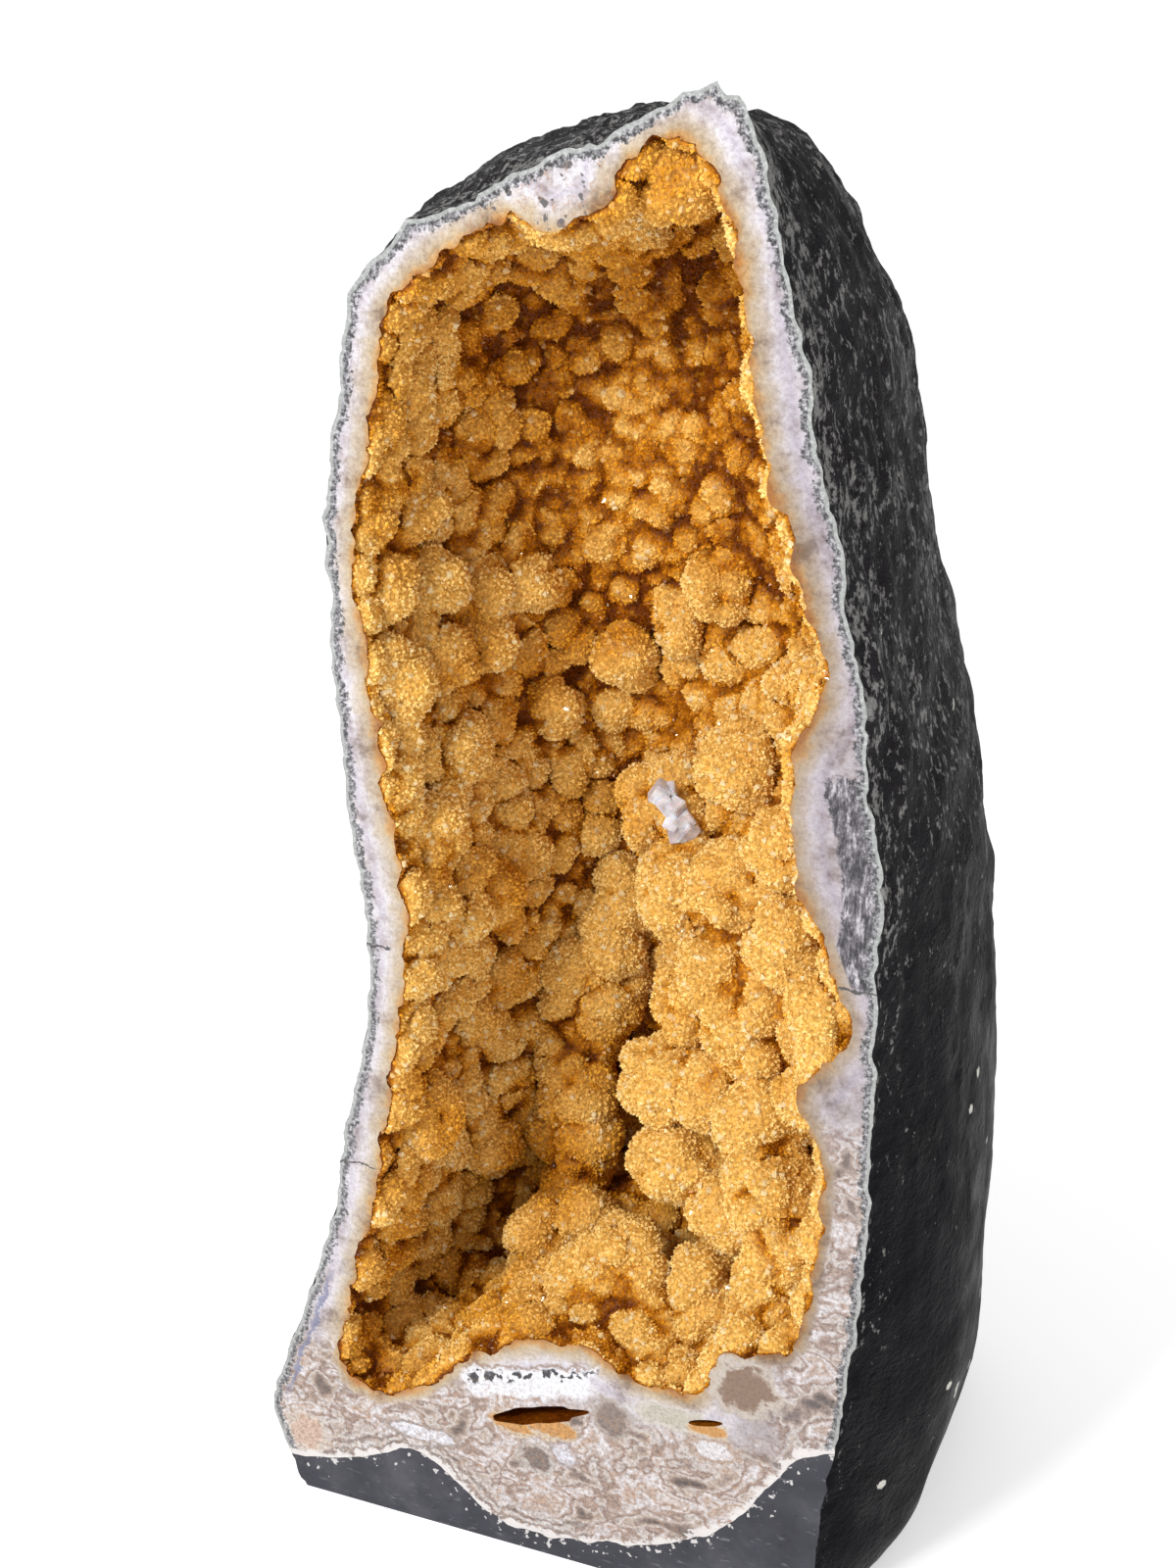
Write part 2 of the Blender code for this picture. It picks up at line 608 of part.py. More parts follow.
def main():
    for old in list(bpy.data.objects):
        bpy.data.objects.remove(old)
    parts = new_collection(OBJECT_NAME)
    cutters = new_collection("cutters")
    sawn_face = bpy.data.objects.new("sawn_face", None)
    parts.objects.link(sawn_face)
    block = sawn_block(cutters, sawn_face)
    pieces = [
        geode_shell(parts, cutters, sawn_face, block),
        cement_foot(parts, cutters, sawn_face, block),
        citrine_crust(parts, cutters, sawn_face, block),
        calcite_cluster(parts, cutters, sawn_face),
    ]
    stand_over_origin(pieces, sawn_face)


main()
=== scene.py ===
"""Looks of a citrine geode: painted rock, a polished agate face, a druse of citrine, calcite and cement.

Everything is drawn in the frame of the sawn face: the face is the plane y = 0, x runs to the right, z runs
up, and the stone lies behind it. FACE_ORIGIN is where that frame's origin stands in the scene.
Sizes are in metres.
"""

import itertools
import math

import bmesh
import bpy
import numpy as np
from mathutils import Euler, Matrix, Vector, noise
from mathutils.kdtree import KDTree


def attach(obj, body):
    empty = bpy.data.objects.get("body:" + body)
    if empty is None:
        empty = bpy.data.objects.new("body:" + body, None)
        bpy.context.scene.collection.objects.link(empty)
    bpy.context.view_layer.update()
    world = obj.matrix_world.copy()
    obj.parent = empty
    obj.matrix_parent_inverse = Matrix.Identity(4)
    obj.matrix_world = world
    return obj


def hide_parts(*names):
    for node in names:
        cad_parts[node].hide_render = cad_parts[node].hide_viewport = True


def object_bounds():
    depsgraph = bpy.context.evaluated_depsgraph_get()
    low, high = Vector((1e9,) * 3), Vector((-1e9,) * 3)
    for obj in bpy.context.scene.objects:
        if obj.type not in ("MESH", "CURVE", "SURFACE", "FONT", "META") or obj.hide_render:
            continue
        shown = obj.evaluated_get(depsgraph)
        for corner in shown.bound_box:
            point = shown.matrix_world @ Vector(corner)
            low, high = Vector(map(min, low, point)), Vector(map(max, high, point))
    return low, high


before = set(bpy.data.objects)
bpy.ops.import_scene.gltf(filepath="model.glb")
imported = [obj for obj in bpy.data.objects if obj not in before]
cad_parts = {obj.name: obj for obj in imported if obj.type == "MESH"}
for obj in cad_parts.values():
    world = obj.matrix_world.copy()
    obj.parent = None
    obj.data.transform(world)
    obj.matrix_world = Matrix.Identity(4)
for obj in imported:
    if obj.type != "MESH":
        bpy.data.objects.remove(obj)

CAD_LOW, CAD_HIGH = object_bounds()
FACE_ORIGIN = Vector((0.0057, CAD_LOW.y, CAD_LOW.z))

# Outline of the sawn face, from the foot to the peak
FACE_LEFT = [
    (-0.020, -0.016), (-0.112, -0.016), (-0.124, -0.003), (-0.132, 0.015), (-0.138, 0.040), (-0.130, 0.063),
    (-0.114, 0.104), (-0.102, 0.146), (-0.092, 0.195), (-0.085, 0.246), (-0.089, 0.300), (-0.093, 0.350),
    (-0.095, 0.404), (-0.089, 0.445), (-0.080, 0.482), (-0.064, 0.502), (-0.040, 0.512), (-0.016, 0.525),
    (0.006, 0.533), (0.024, 0.544), (0.040, 0.551),
]
FACE_RIGHT = [
    (-0.020, -0.016), (0.070, -0.016), (0.089, 0.000), (0.092, 0.060), (0.098, 0.105), (0.102, 0.150),
    (0.104, 0.200), (0.103, 0.240), (0.099, 0.290), (0.095, 0.335), (0.087, 0.386), (0.078, 0.424),
    (0.070, 0.462), (0.064, 0.494), (0.059, 0.520), (0.050, 0.544), (0.040, 0.551),
]

# Outline of the rock where it is widest, behind the sawn face
WIDEST_AT = 0.060
WIDEST_LEFT = [
    (-0.020, -0.016), (-0.115, -0.016), (-0.131, 0.010), (-0.139, 0.048), (-0.122, 0.102), (-0.109, 0.152),
    (-0.099, 0.205), (-0.095, 0.255), (-0.098, 0.305), (-0.101, 0.355), (-0.102, 0.405), (-0.098, 0.455),
    (-0.089, 0.490), (-0.067, 0.512), (-0.040, 0.525), (-0.010, 0.535), (0.022, 0.537),
]
WIDEST_RIGHT = [
    (-0.020, -0.016), (0.080, -0.016), (0.105, 0.000), (0.119, 0.040), (0.126, 0.080), (0.128, 0.125),
    (0.126, 0.175), (0.120, 0.250), (0.112, 0.311), (0.102, 0.356), (0.093, 0.400), (0.086, 0.434),
    (0.082, 0.460), (0.075, 0.482), (0.064, 0.507), (0.052, 0.525), (0.039, 0.535), (0.022, 0.537),
]

# Outline of the hollow in the sawn face, from its sill to its peak
HOLLOW_LEFT = [
    (0.000, 0.100), (-0.024, 0.096), (-0.048, 0.084), (-0.064, 0.067), (-0.082, 0.056), (-0.100, 0.057),
    (-0.106, 0.071), (-0.100, 0.097), (-0.088, 0.145), (-0.078, 0.200), (-0.070, 0.262), (-0.077, 0.312),
    (-0.083, 0.365), (-0.085, 0.398), (-0.078, 0.436), (-0.070, 0.476), (-0.055, 0.494), (-0.026, 0.511),
    (-0.014, 0.505), (0.004, 0.513), (0.012, 0.528), (0.030, 0.537),
]
HOLLOW_RIGHT = [
    (0.000, 0.100), (0.015, 0.092), (0.042, 0.091), (0.052, 0.113), (0.078, 0.121), (0.085, 0.158),
    (0.087, 0.198), (0.078, 0.224), (0.092, 0.251), (0.082, 0.284), (0.072, 0.312), (0.071, 0.343),
    (0.080, 0.366), (0.074, 0.400), (0.061, 0.436), (0.053, 0.474), (0.048, 0.508), (0.038, 0.528),
    (0.030, 0.537),
]

# Where stone and cement meet, across the front from left to right
SEAM = [
    (-0.170, 0.012), (-0.129, 0.014), (-0.106, 0.019), (-0.074, 0.032), (-0.056, 0.023), (-0.040, 0.011),
    (-0.016, 0.0085), (0.009, 0.0135), (0.037, 0.024), (0.059, 0.041), (0.074, 0.064), (0.090, 0.080),
    (0.150, 0.086),
]

# Body of the rock, as in the CAD
DEPTH = 0.212
BODY_SPINE = ((-0.012, 0.100), (0.000, 0.400))
BODY_TOP = 0.550
BACK_POWER = 1.85
SIDE_POWER = 2.6
TOP_POWER = 2.0
FOOT_POWER = 7.0
SIDE_TO_END_SLOPES = (0.1, 0.95)
WIDEST_TURN = 0.3
BULGE_SIZE = 0.070
BULGE_RISE = 0.0035
BULGE_PLACE = Vector((3.1, 0, 0))
LUMP_SIZE = 0.026
LUMP_RISE = 0.0022
LUMP_PLACE = Vector((0, 7.7, 0))
SMOOTH_BELOW = 0.12
ROUGH_ABOVE = 0.40
SMOOTHEST_SHARE = 0.3

# Hollow and the crust on its wall, as in the CAD
CRUST_THICKNESS = 0.0065
HOLLOW_SPINE = ((-0.005, 0.150), (-0.010, 0.430))
HOLLOW_DEPTH = 0.122
HOLLOW_TOP_DEPTH = 0.088
HOLLOW_NARROWS = (0.28, 0.43)
HOLLOW_POWER = 2.4
MASS_MIDDLE = (0.046, 0.222)
MASS_HALF_WIDTH = 0.046
MASS_HALF_HEIGHT = 0.100
MASS_RISE = 0.056

# Lumps of the crust: middle (x, y, z) and radius of each ball
RIGHT_MASS = [
    (0.030, 0.078, 0.310, 0.012), (0.008, 0.078, 0.260, 0.015), (0.030, 0.070, 0.265, 0.014),
    (0.056, 0.055, 0.293, 0.011), (0.030, 0.066, 0.231, 0.016), (0.044, 0.060, 0.216, 0.015),
    (0.016, 0.070, 0.218, 0.012), (0.063, 0.048, 0.259, 0.013), (0.010, 0.066, 0.183, 0.015),
    (0.029, 0.060, 0.188, 0.013), (0.050, 0.050, 0.183, 0.013), (0.016, 0.060, 0.153, 0.013),
    (0.075, 0.030, 0.212, 0.010), (0.057, 0.042, 0.160, 0.014), (0.038, 0.050, 0.142, 0.012),
    (0.066, 0.032, 0.143, 0.012), (0.083, 0.014, 0.252, 0.009), (0.086, 0.012, 0.237, 0.008),
]
FLOOR_FINGERS = [
    (0.033, 0.040, 0.115, 0.009), (0.034, 0.038, 0.103, 0.010), (0.036, 0.035, 0.092, 0.010),
    (0.062, 0.030, 0.131, 0.010), (0.065, 0.027, 0.119, 0.011), (0.069, 0.022, 0.112, 0.009),
]
FLOOR_MOUND = [
    (-0.002, 0.046, 0.111, 0.013), (-0.012, 0.042, 0.094, 0.018), (-0.032, 0.038, 0.081, 0.015),
    (0.008, 0.036, 0.093, 0.015), (-0.045, 0.028, 0.073, 0.012), (0.017, 0.026, 0.084, 0.011),
    (-0.044, 0.062, 0.102, 0.010), (-0.026, 0.066, 0.112, 0.009),
]
BACK_PILLAR = [
    (-0.043, 0.096, 0.207, 0.012), (-0.045, 0.098, 0.179, 0.013), (-0.046, 0.098, 0.150, 0.013),
    (-0.044, 0.094, 0.124, 0.012), (-0.038, 0.084, 0.106, 0.011), (-0.026, 0.106, 0.250, 0.013),
]
LEFT_KNOBS = [
    (-0.081, 0.030, 0.172, 0.012), (-0.075, 0.078, 0.131, 0.009), (-0.069, 0.044, 0.249, 0.009),
    (-0.073, 0.030, 0.287, 0.010), (-0.064, 0.060, 0.253, 0.009), (-0.081, 0.022, 0.347, 0.009),
    (-0.074, 0.048, 0.348, 0.009), (-0.069, 0.066, 0.350, 0.008), (-0.084, 0.020, 0.383, 0.008),
    (-0.077, 0.044, 0.378, 0.009), (-0.068, 0.068, 0.368, 0.008), (-0.058, 0.082, 0.368, 0.008),
    (-0.079, 0.038, 0.403, 0.008), (-0.070, 0.050, 0.313, 0.009), (-0.054, 0.094, 0.318, 0.008),
]
UPPER_KNOBS = [
    (0.016, 0.092, 0.374, 0.010), (-0.006, 0.102, 0.358, 0.007), (-0.025, 0.106, 0.337, 0.009),
    (0.030, 0.088, 0.310, 0.010), (0.023, 0.020, 0.521, 0.0095), (-0.002, 0.100, 0.351, 0.007),
    (-0.001, 0.097, 0.281, 0.016),
]
PLACED_LUMPS = RIGHT_MASS + FLOOR_FINGERS + FLOOR_MOUND + LEFT_KNOBS + UPPER_KNOBS

# How finely each surface is drawn
CURVE_STEPS = 24
EASING_STEPS = 8
BODY_ROWS = 340
BODY_RINGS = 84
FACE_RINGS = 48
HOLLOW_ROWS = 200
HOLLOW_RINGS = 60
WALL_ROWS = 120
WALL_RINGS = 12
CRUST_GRAIN = 0.0020
LIP = 0.010
LID_MIDDLE = (-0.005, 0.270)
RIM_OPENS = 0.0036
BOWL_THICKNESS = 0.018
LINE_ROWS = 1500
SHARP_ANGLE = math.radians(50)
LUMP_ROWS = 150
LUMP_RINGS = 60
BALL_DETAIL = 3
POCKET_DETAIL = 5
NO_LENGTH = 1e-12
LOOKS_FORWARD = -0.95
FACE_DEPTH = 0.0004
MARKED_DEPTH = 0.001


def smooth_path(points, count):
    """Points at equal steps along the smooth curve through the given points."""
    knots = np.array(points)
    before = 2 * knots[:1] - knots[1:2]
    after = 2 * knots[-1:] - knots[-2:-1]
    padded = np.vstack([before, knots, after])
    steps = np.linspace(0, 1, CURVE_STEPS, endpoint=False)[:, None]
    pieces = []
    for a, b, c, d in zip(padded, padded[1:], padded[2:], padded[3:]):
        linear = (c - a) * steps
        square = (2 * a - 5 * b + 4 * c - d) * steps**2
        cube = (3 * b - a - 3 * c + d) * steps**3
        pieces.append(b + 0.5 * (linear + square + cube))
    dense = np.vstack(pieces + [knots[-1:]])
    lengths = np.r_[0, np.cumsum(np.linalg.norm(np.diff(dense, axis=0), axis=1))]
    wanted = np.linspace(0, lengths[-1], count)
    return np.stack([np.interp(wanted, lengths, dense[:, i]) for i in range(dense.shape[1])], axis=1)


def smooth_step(low, high, values):
    """Zero below low, one above high, and a smooth rise between them."""
    share = np.clip((values - low) / (high - low), 0, 1)
    return share * share * (3 - 2 * share)


def unit(vectors):
    """The same directions, each with length one."""
    return vectors / np.maximum(np.linalg.norm(vectors, axis=1, keepdims=True), NO_LENGTH)


def closed_loop(sides):
    """The two sides of an outline as one closed line."""
    return np.vstack([sides[0], sides[1][-2:0:-1]])


def outward_of(loop):
    """The outward direction at each point of a closed line."""
    along = np.roll(loop, -1, axis=0) - np.roll(loop, 1, axis=0)
    return np.stack([-along[:, 1], along[:, 0]], axis=1)


def outline_sides(left, right, rows, grow=0.0):
    """Both sides of an outline in equal steps, grown outwards by a distance and eased at its corners."""
    fine = EASING_STEPS if grow else 1
    sides = [smooth_path(left, rows * fine + 1), smooth_path(right, rows * fine + 1)]
    if grow:
        loop = closed_loop(sides)
        loop = loop + grow * unit(outward_of(loop))
        for _ in range(fine):
            loop = (np.roll(loop, 1, axis=0) + 2 * loop + np.roll(loop, -1, axis=0)) / 4
        last = rows * fine
        sides = [loop[:last + 1:fine], np.vstack([loop[:1], loop[:last - 1:-1]])[::fine]]
    return sides


def body_ring(rim, spine, turn):
    """One ring of the rock's outside: it widens behind the face, then rounds off to the back."""
    widened = min(turn / WIDEST_TURN, 1)
    outline = rim[:, :2] + math.sin(widened * math.pi / 2) * (rim[:, 2:] - rim[:, :2])
    reach = outline - spine
    slope = reach[:, 1] / np.linalg.norm(reach, axis=1)
    up = smooth_step(*SIDE_TO_END_SLOPES, slope)
    down = smooth_step(*SIDE_TO_END_SLOPES, -slope)
    power = SIDE_POWER + (TOP_POWER - SIDE_POWER) * up + (FOOT_POWER - SIDE_POWER) * down
    rise = np.clip((spine[:, 1] - BODY_SPINE[0][1]) / (BODY_TOP - BODY_SPINE[0][1]), 0, 1)
    depth = DEPTH * (1 - rise**BACK_POWER) ** (1 / BACK_POWER)
    angle = max(turn - WIDEST_TURN, 0) / (1 - WIDEST_TURN) * math.pi / 2
    shrink = math.cos(angle) ** (2 / power) if turn < 1 else np.zeros(len(rim))
    back = WIDEST_AT * widened + (depth - WIDEST_AT) * math.sin(angle) ** (2 / power)
    flat = spine + shrink[:, None] * reach
    return np.stack([flat[:, 0], back, flat[:, 1]], axis=1)


def hollow_ring(grow):
    """The ring function of the hollow, or of the hollow grown outwards by a distance."""

    def ring(rim, spine, turn):
        high = smooth_step(*HOLLOW_NARROWS, spine[:, 1])
        depth = HOLLOW_DEPTH + (HOLLOW_TOP_DEPTH - HOLLOW_DEPTH) * high + grow
        angle = turn * math.pi / 2
        shrink = math.cos(angle) ** (2 / HOLLOW_POWER) if turn < 1 else 0.0
        back = depth * math.sin(angle) ** (2 / HOLLOW_POWER)
        flat = spine + shrink * (rim - spine)
        return np.stack([flat[:, 0], back, flat[:, 1]], axis=1)

    return ring


def inside_ring(rim, spine, turn):
    """One ring of the hollow's inner wall: the plain hollow, with the right of its back pushed forward."""
    points = hollow_ring(0.0)(rim, spine, turn)
    across = (points[:, 0] - MASS_MIDDLE[0]) / MASS_HALF_WIDTH
    upward = (points[:, 2] - MASS_MIDDLE[1]) / MASS_HALF_HEIGHT
    rise = MASS_RISE * np.exp(-(across**2) - np.abs(upward) ** 3)
    points[:, 1] -= rise * smooth_step(0.0, HOLLOW_DEPTH, points[:, 1])
    return points


def spine_points(sides, spine_ends):
    """The point of a straight spine that each row of an outline goes back to."""
    low, high = np.array(spine_ends)
    heights = (sides[0][:, 1] + sides[1][:, 1]) / 2
    share = np.clip((heights - low[1]) / (high[1] - low[1]), 0, 1)
    return low + share[:, None] * (high - low)


def rings(sides, spine_ends, turns, shape):
    """For each side of an outline, its rings from the rim at turn 0 to the spine at turn 1."""
    spine = spine_points(sides, spine_ends)
    return [np.stack([shape(rim, spine, turn) for turn in turns]) for rim in sides]


def grown_from_spine(sides, spine_ends, distance):
    """Both sides of an outline moved straight away from the spine, so that they never cross themselves."""
    spine = spine_points(sides, spine_ends)
    grown = []
    for rim in sides:
        reach = rim - spine
        grown.append(rim + distance * reach / np.linalg.norm(reach, axis=1, keepdims=True))
    return grown


def mesh_from(name, places, faces):
    """A mesh from an array of places and an array of faces with as many corners each."""
    data = bpy.data.meshes.new(name)
    data.vertices.add(len(places))
    data.vertices.foreach_set("co", np.ascontiguousarray(places, np.float32).ravel())
    data.loops.add(faces.size)
    data.loops.foreach_set("vertex_index", np.ascontiguousarray(faces, np.int32).ravel())
    data.polygons.add(len(faces))
    data.polygons.foreach_set("loop_start", np.arange(0, faces.size, faces.shape[1], dtype=np.int32))
    data.update(calc_edges=True)
    return data


def solid_from(name, grids):
    """A closed mesh from a left and a right grid that meet along all their edges."""
    columns, rows = grids[0].shape[:2]
    index = np.arange(columns * rows).reshape(columns, rows)
    quads = np.stack([index[:-1, :-1], index[:-1, 1:], index[1:, 1:], index[1:, :-1]], axis=-1)
    quads = quads.reshape(-1, 4)
    places = np.vstack([grid.reshape(-1, 3) for grid in grids])
    data = mesh_from(name, places, np.vstack([quads, quads[:, ::-1] + columns * rows]))
    mesh = bmesh.new()
    mesh.from_mesh(data)
    bmesh.ops.remove_doubles(mesh, verts=mesh.verts, dist=1e-6)
    bmesh.ops.dissolve_degenerate(mesh, edges=mesh.edges, dist=1e-6)
    bmesh.ops.recalc_face_normals(mesh, faces=mesh.faces)
    bmesh.ops.triangulate(mesh, faces=mesh.faces)
    mesh.to_mesh(data)
    mesh.free()
    return data


def values_of(elements, key, width=1, kind=np.float32):
    """One property of all the given elements of a mesh, with a row of the given width for each."""
    values = np.empty(len(elements) * width, kind)
    elements.foreach_get(key, values)
    return values.reshape(-1, width) if width > 1 else values


def vertex_vectors(data, kind):
    """The places ("co") or normals ("vector") of a mesh's vertices as an array."""
    source = data.vertices if kind == "co" else data.vertex_normals
    return values_of(source, kind, 3).astype(float)


def set_places(data, places):
    data.vertices.foreach_set("co", np.ascontiguousarray(places, np.float32).ravel())
    data.update()


def set_values(data, name, values):
    """Stores one number for each vertex, for the materials."""
    data.attributes.new(name, "FLOAT", "POINT").data.foreach_set("value", np.asarray(values, np.float32))


def lattice_noise(points, size, seed):
    """Smooth noise from -1 to 1 at each point, with lumps of about the given size."""
    cells = points / size
    corner = np.floor(cells).astype(np.int64)
    part = cells - corner
    part = part * part * (3 - 2 * part)
    total = np.zeros(len(points))
    for step in itertools.product((0, 1), repeat=3):
        weight = np.prod(np.where(step, part, 1 - part), axis=1)
        total += weight * (2 * hashed(corner + step, seed) - 1)
    return total


def hashed(cells, seed):
    """A number from 0 to 1 for each whole-numbered cell."""
    key = cells[:, 0] * 73856093 ^ cells[:, 1] * 19349663 ^ cells[:, 2] * 83492791 ^ (seed * 2654435761)
    key = (key ^ (key >> 13)) * 1274126177
    key = (key ^ (key >> 16)) & 0xFFFFFF
    return key / 0xFFFFFF


def fractal_noise(points, size, seed, octaves):
    """Lattice noise with finer noise added, each octave half as large and half as strong."""
    return sum(lattice_noise(points, size / 2**i, seed + i) / 2**i for i in range(octaves))


def domes(points, size, seed):
    """Heights from 0 to 1 of rounded bumps that fill space, each about the given size across."""
    cells = points / size
    corner = np.floor(cells).astype(np.int64)
    nearest = np.full(len(points), 9.0)
    for step in itertools.product((-1, 0, 1), repeat=3):
        cell = corner + step
        middle = np.stack([hashed(cell, seed + i) for i in range(3)], axis=1) + cell
        nearest = np.minimum(nearest, np.sum((cells - middle) ** 2, axis=1))
    return np.clip(1 - DOME_CURVE * nearest, 0, 1)


def tool_object(name, data):
    """A new object in the scene."""
    made = bpy.data.objects.new(name, data)
    bpy.context.scene.collection.objects.link(made)
    return made


def worked(name, data, steps):
    """The mesh after the given modifiers: (type, settings) for each."""
    made = tool_object(name, data)
    for kind, settings in steps:
        modifier = made.modifiers.new(kind, kind)
        for key, value in settings.items():
            setattr(modifier, key, value)
    bpy.context.view_layer.update()
    result = bpy.data.meshes.new_from_object(made.evaluated_get(bpy.context.evaluated_depsgraph_get()))
    result.materials.clear()
    bpy.data.objects.remove(made)
    return result


def boolean(cutter, operation):
    return "BOOLEAN", {"operation": operation, "solver": "MANIFOLD", "object": cutter}


# Finer relief of the rock's outside, and of the edge of the sawn face
CRAG_SIZE = 0.010
CRAG_RISE = 0.0013
GRIT_SIZE = 0.0040
GRIT_RISE = 0.0006
STREAK_STRETCH = (1.0, 1.0, 0.30)
CRAG_SEED = 11
CRAG_LEVEL = 0.6
GRIT_SEED = 17
CRAGS_GROW = (0.10, 0.42)
LEAST_CRAGS = 0.25
EDGE_CHIP_RISE = 0.0009
EDGE_CHIP_SIZE = 0.005
EDGE_CHIP_DEPTH = 0.003
EDGE_CHIP_SEED = 23

# The crust reaches this far under the shell's edge, and its section lies this far behind the face
OVERLAP = 0.0005
SECTION_BACK = 0.00004
SECTION_DEPTH = SECTION_BACK + 0.0001

# The block that the stone is cut to, and the seam's fine waver
BLOCK_LOW = (-0.3, -0.05, 0.0)
BLOCK_HIGH = (0.3, 0.4, 0.8)
PAST_THE_STONE = 0.05
SEAM_GAP = 0.0002
SEAM_POINTS = 420
SEAM_WAVER = 0.0011
SEAM_WAVER_SIZE = 0.008
SEAM_SEED = 41

# Pockets in the sawn face: middle, half sizes and tilt
POCKETS = [
    ((-0.022, 0.000, 0.0645), (0.0215, 0.018, 0.0038), math.radians(-20)),
    ((0.0465, 0.000, 0.0812), (0.0075, 0.007, 0.0016), math.radians(-15)),
]
POCKET_ROUGHNESS = 0.22
POCKET_GRAIN = 0.006
POCKET_SEED = 51
POCKET_MARGIN = 1.3

# Swells and domes of two sizes that cover the crust, and the warp that bends the domes
SWELL_SIZE = 0.012
SWELL_RISE = 0.0022
SWELL_SEED = 67
DOME_SIZES = (0.0095, 0.0056)
DOME_RISES = (0.0036, 0.0026)
DOME_CURVE = 1.15
DOME_SEED = 61
WARP_SIZE = 0.008
WARP_REACH = 0.002
WARP_SEED = 71

# Small and large knobs, for the painted shade in the crevices and light on the knobs: rounds of easing,
# height and weight
KNOB_SIZES = ((10, 0.0012, 0.7), (60, 0.0040, 0.8))

# How the lumps melt together, the small lumps in the wall, and the smaller ones on each placed lump
MELT_FACTOR = 0.5
MELT_ROUNDS = 5
SMALL_LUMPS = 1500
SMALL_LUMP_RADIUS = (0.0030, 0.0072)
LUMP_SINK = (0.60, 0.10)
FLATTER_ABOVE = (0.300, 0.420)
RIM_LUMP_RADIUS = 0.0004
RIM_LUMP_GROWTH = 0.7
RIM_GAP = 0.0007
BEHIND_THE_FACE = 0.003
LUMPS_FROM = 0.002
LUMP_SEED = 7
SUB_LUMPS = 14
SUB_LUMP_SHARE = (0.28, 0.50)
SUB_LUMP_OUT = 1.05
SUB_LUMP_IN = 0.45

# Fine cracks in the sawn face: height, and where each begins and ends across
CRACKS = [(0.159, -0.110, -0.086), (0.252, -0.092, -0.076), (0.268, 0.088, 0.110)]

# Nodules and patches of the sawn face: middle (x, z), half sizes, colour inside and colour at the edge
NODULES = [
    ((0.061, 0.1005), (0.0150, 0.0145), (0.20, 0.125, 0.085), (0.44, 0.38, 0.33)),
    ((0.0095, 0.0725), (0.0090, 0.0095), (0.20, 0.155, 0.135), (0.33, 0.28, 0.25)),
    ((-0.0215, 0.0450), (0.0090, 0.0080), (0.17, 0.130, 0.115), (0.42, 0.38, 0.36)),
    ((-0.0095, 0.0500), (0.0065, 0.0070), (0.56, 0.56, 0.62), (0.34, 0.29, 0.29)),
    ((0.0340, 0.0800), (0.0200, 0.0060), (0.43, 0.40, 0.34), (0.50, 0.46, 0.42)),
    ((0.0500, 0.0700), (0.0110, 0.0060), (0.60, 0.58, 0.60), (0.38, 0.29, 0.24)),
    ((-0.1220, 0.0270), (0.0110, 0.0110), (0.50, 0.36, 0.29), (0.52, 0.45, 0.40)),
    ((-0.0700, 0.0420), (0.0200, 0.0045), (0.60, 0.60, 0.65), (0.30, 0.25, 0.23)),
]
AMBER_LEDGES = [
    ((-0.0300, 0.0582), (0.0100, 0.0040)),
    ((-0.0160, 0.0612), (0.0110, 0.0044)),
    ((0.0470, 0.0782), (0.0080, 0.0026)),
]
SILL_SLOPE = 0.27
SILL_TOP = 0.0925

PILLAR_STEPS = 4
PILLAR_RADIUS = (0.0060, 0.0105)
PILLAR_JITTER = 0.0035


def box_mesh(name, low, high):
    corners = np.array(list(itertools.product(*zip(low, high))))
    faces = np.array([[0, 1, 3, 2], [4, 6, 7, 5], [0, 4, 5, 1], [2, 3, 7, 6], [0, 2, 6, 4], [1, 5, 7, 3]])
    return mesh_from(name, corners, faces)


def below_seam(name, lowered):
    """Everything below the wavering seam between stone and cement, as a bar along Y."""
    top = smooth_path(SEAM, SEAM_POINTS)
    flat = np.stack([top[:, 0], top[:, 1], 0 * top[:, 0]], axis=1)
    waver = fractal_noise(flat, SEAM_WAVER_SIZE, SEAM_SEED, 3)
    top[:, 1] += SEAM_WAVER * waver - lowered
    outline = np.vstack([top, [top[-1, 0], -PAST_THE_STONE], [top[0, 0], -PAST_THE_STONE]])
    mesh = bmesh.new()
    loops = []
    for y in (-PAST_THE_STONE, DEPTH + PAST_THE_STONE):
        loops.append([mesh.verts.new((x, y, z)) for x, z in outline])
        mesh.faces.new(loops[-1])
    for i in range(len(outline)):
        mesh.faces.new([loops[0][i], loops[0][i - 1], loops[1][i - 1], loops[1][i]])
    bmesh.ops.recalc_face_normals(mesh, faces=mesh.faces)
    bmesh.ops.triangulate(mesh, faces=mesh.faces)
    data = bpy.data.meshes.new(name)
    mesh.to_mesh(data)
    mesh.free()
    return data


def pocket_mesh(index):
    """A rough lens-shaped hollow."""
    middle, half_size, tilt = POCKETS[index]
    mesh = bmesh.new()
    bmesh.ops.create_icosphere(mesh, subdivisions=POCKET_DETAIL, radius=1)
    data = bpy.data.meshes.new(f"pocket_{index + 1}")
    mesh.to_mesh(data)
    mesh.free()
    ball = vertex_vectors(data, "co") * half_size
    ball *= 1 + POCKET_ROUGHNESS * lattice_noise(ball, POCKET_GRAIN, POCKET_SEED)[:, None]
    turned = ball.copy()
    turned[:, 0] = ball[:, 0] * math.cos(tilt) + ball[:, 2] * math.sin(tilt)
    turned[:, 2] = ball[:, 2] * math.cos(tilt) - ball[:, 0] * math.sin(tilt)
    set_places(data, turned + middle)
    return data


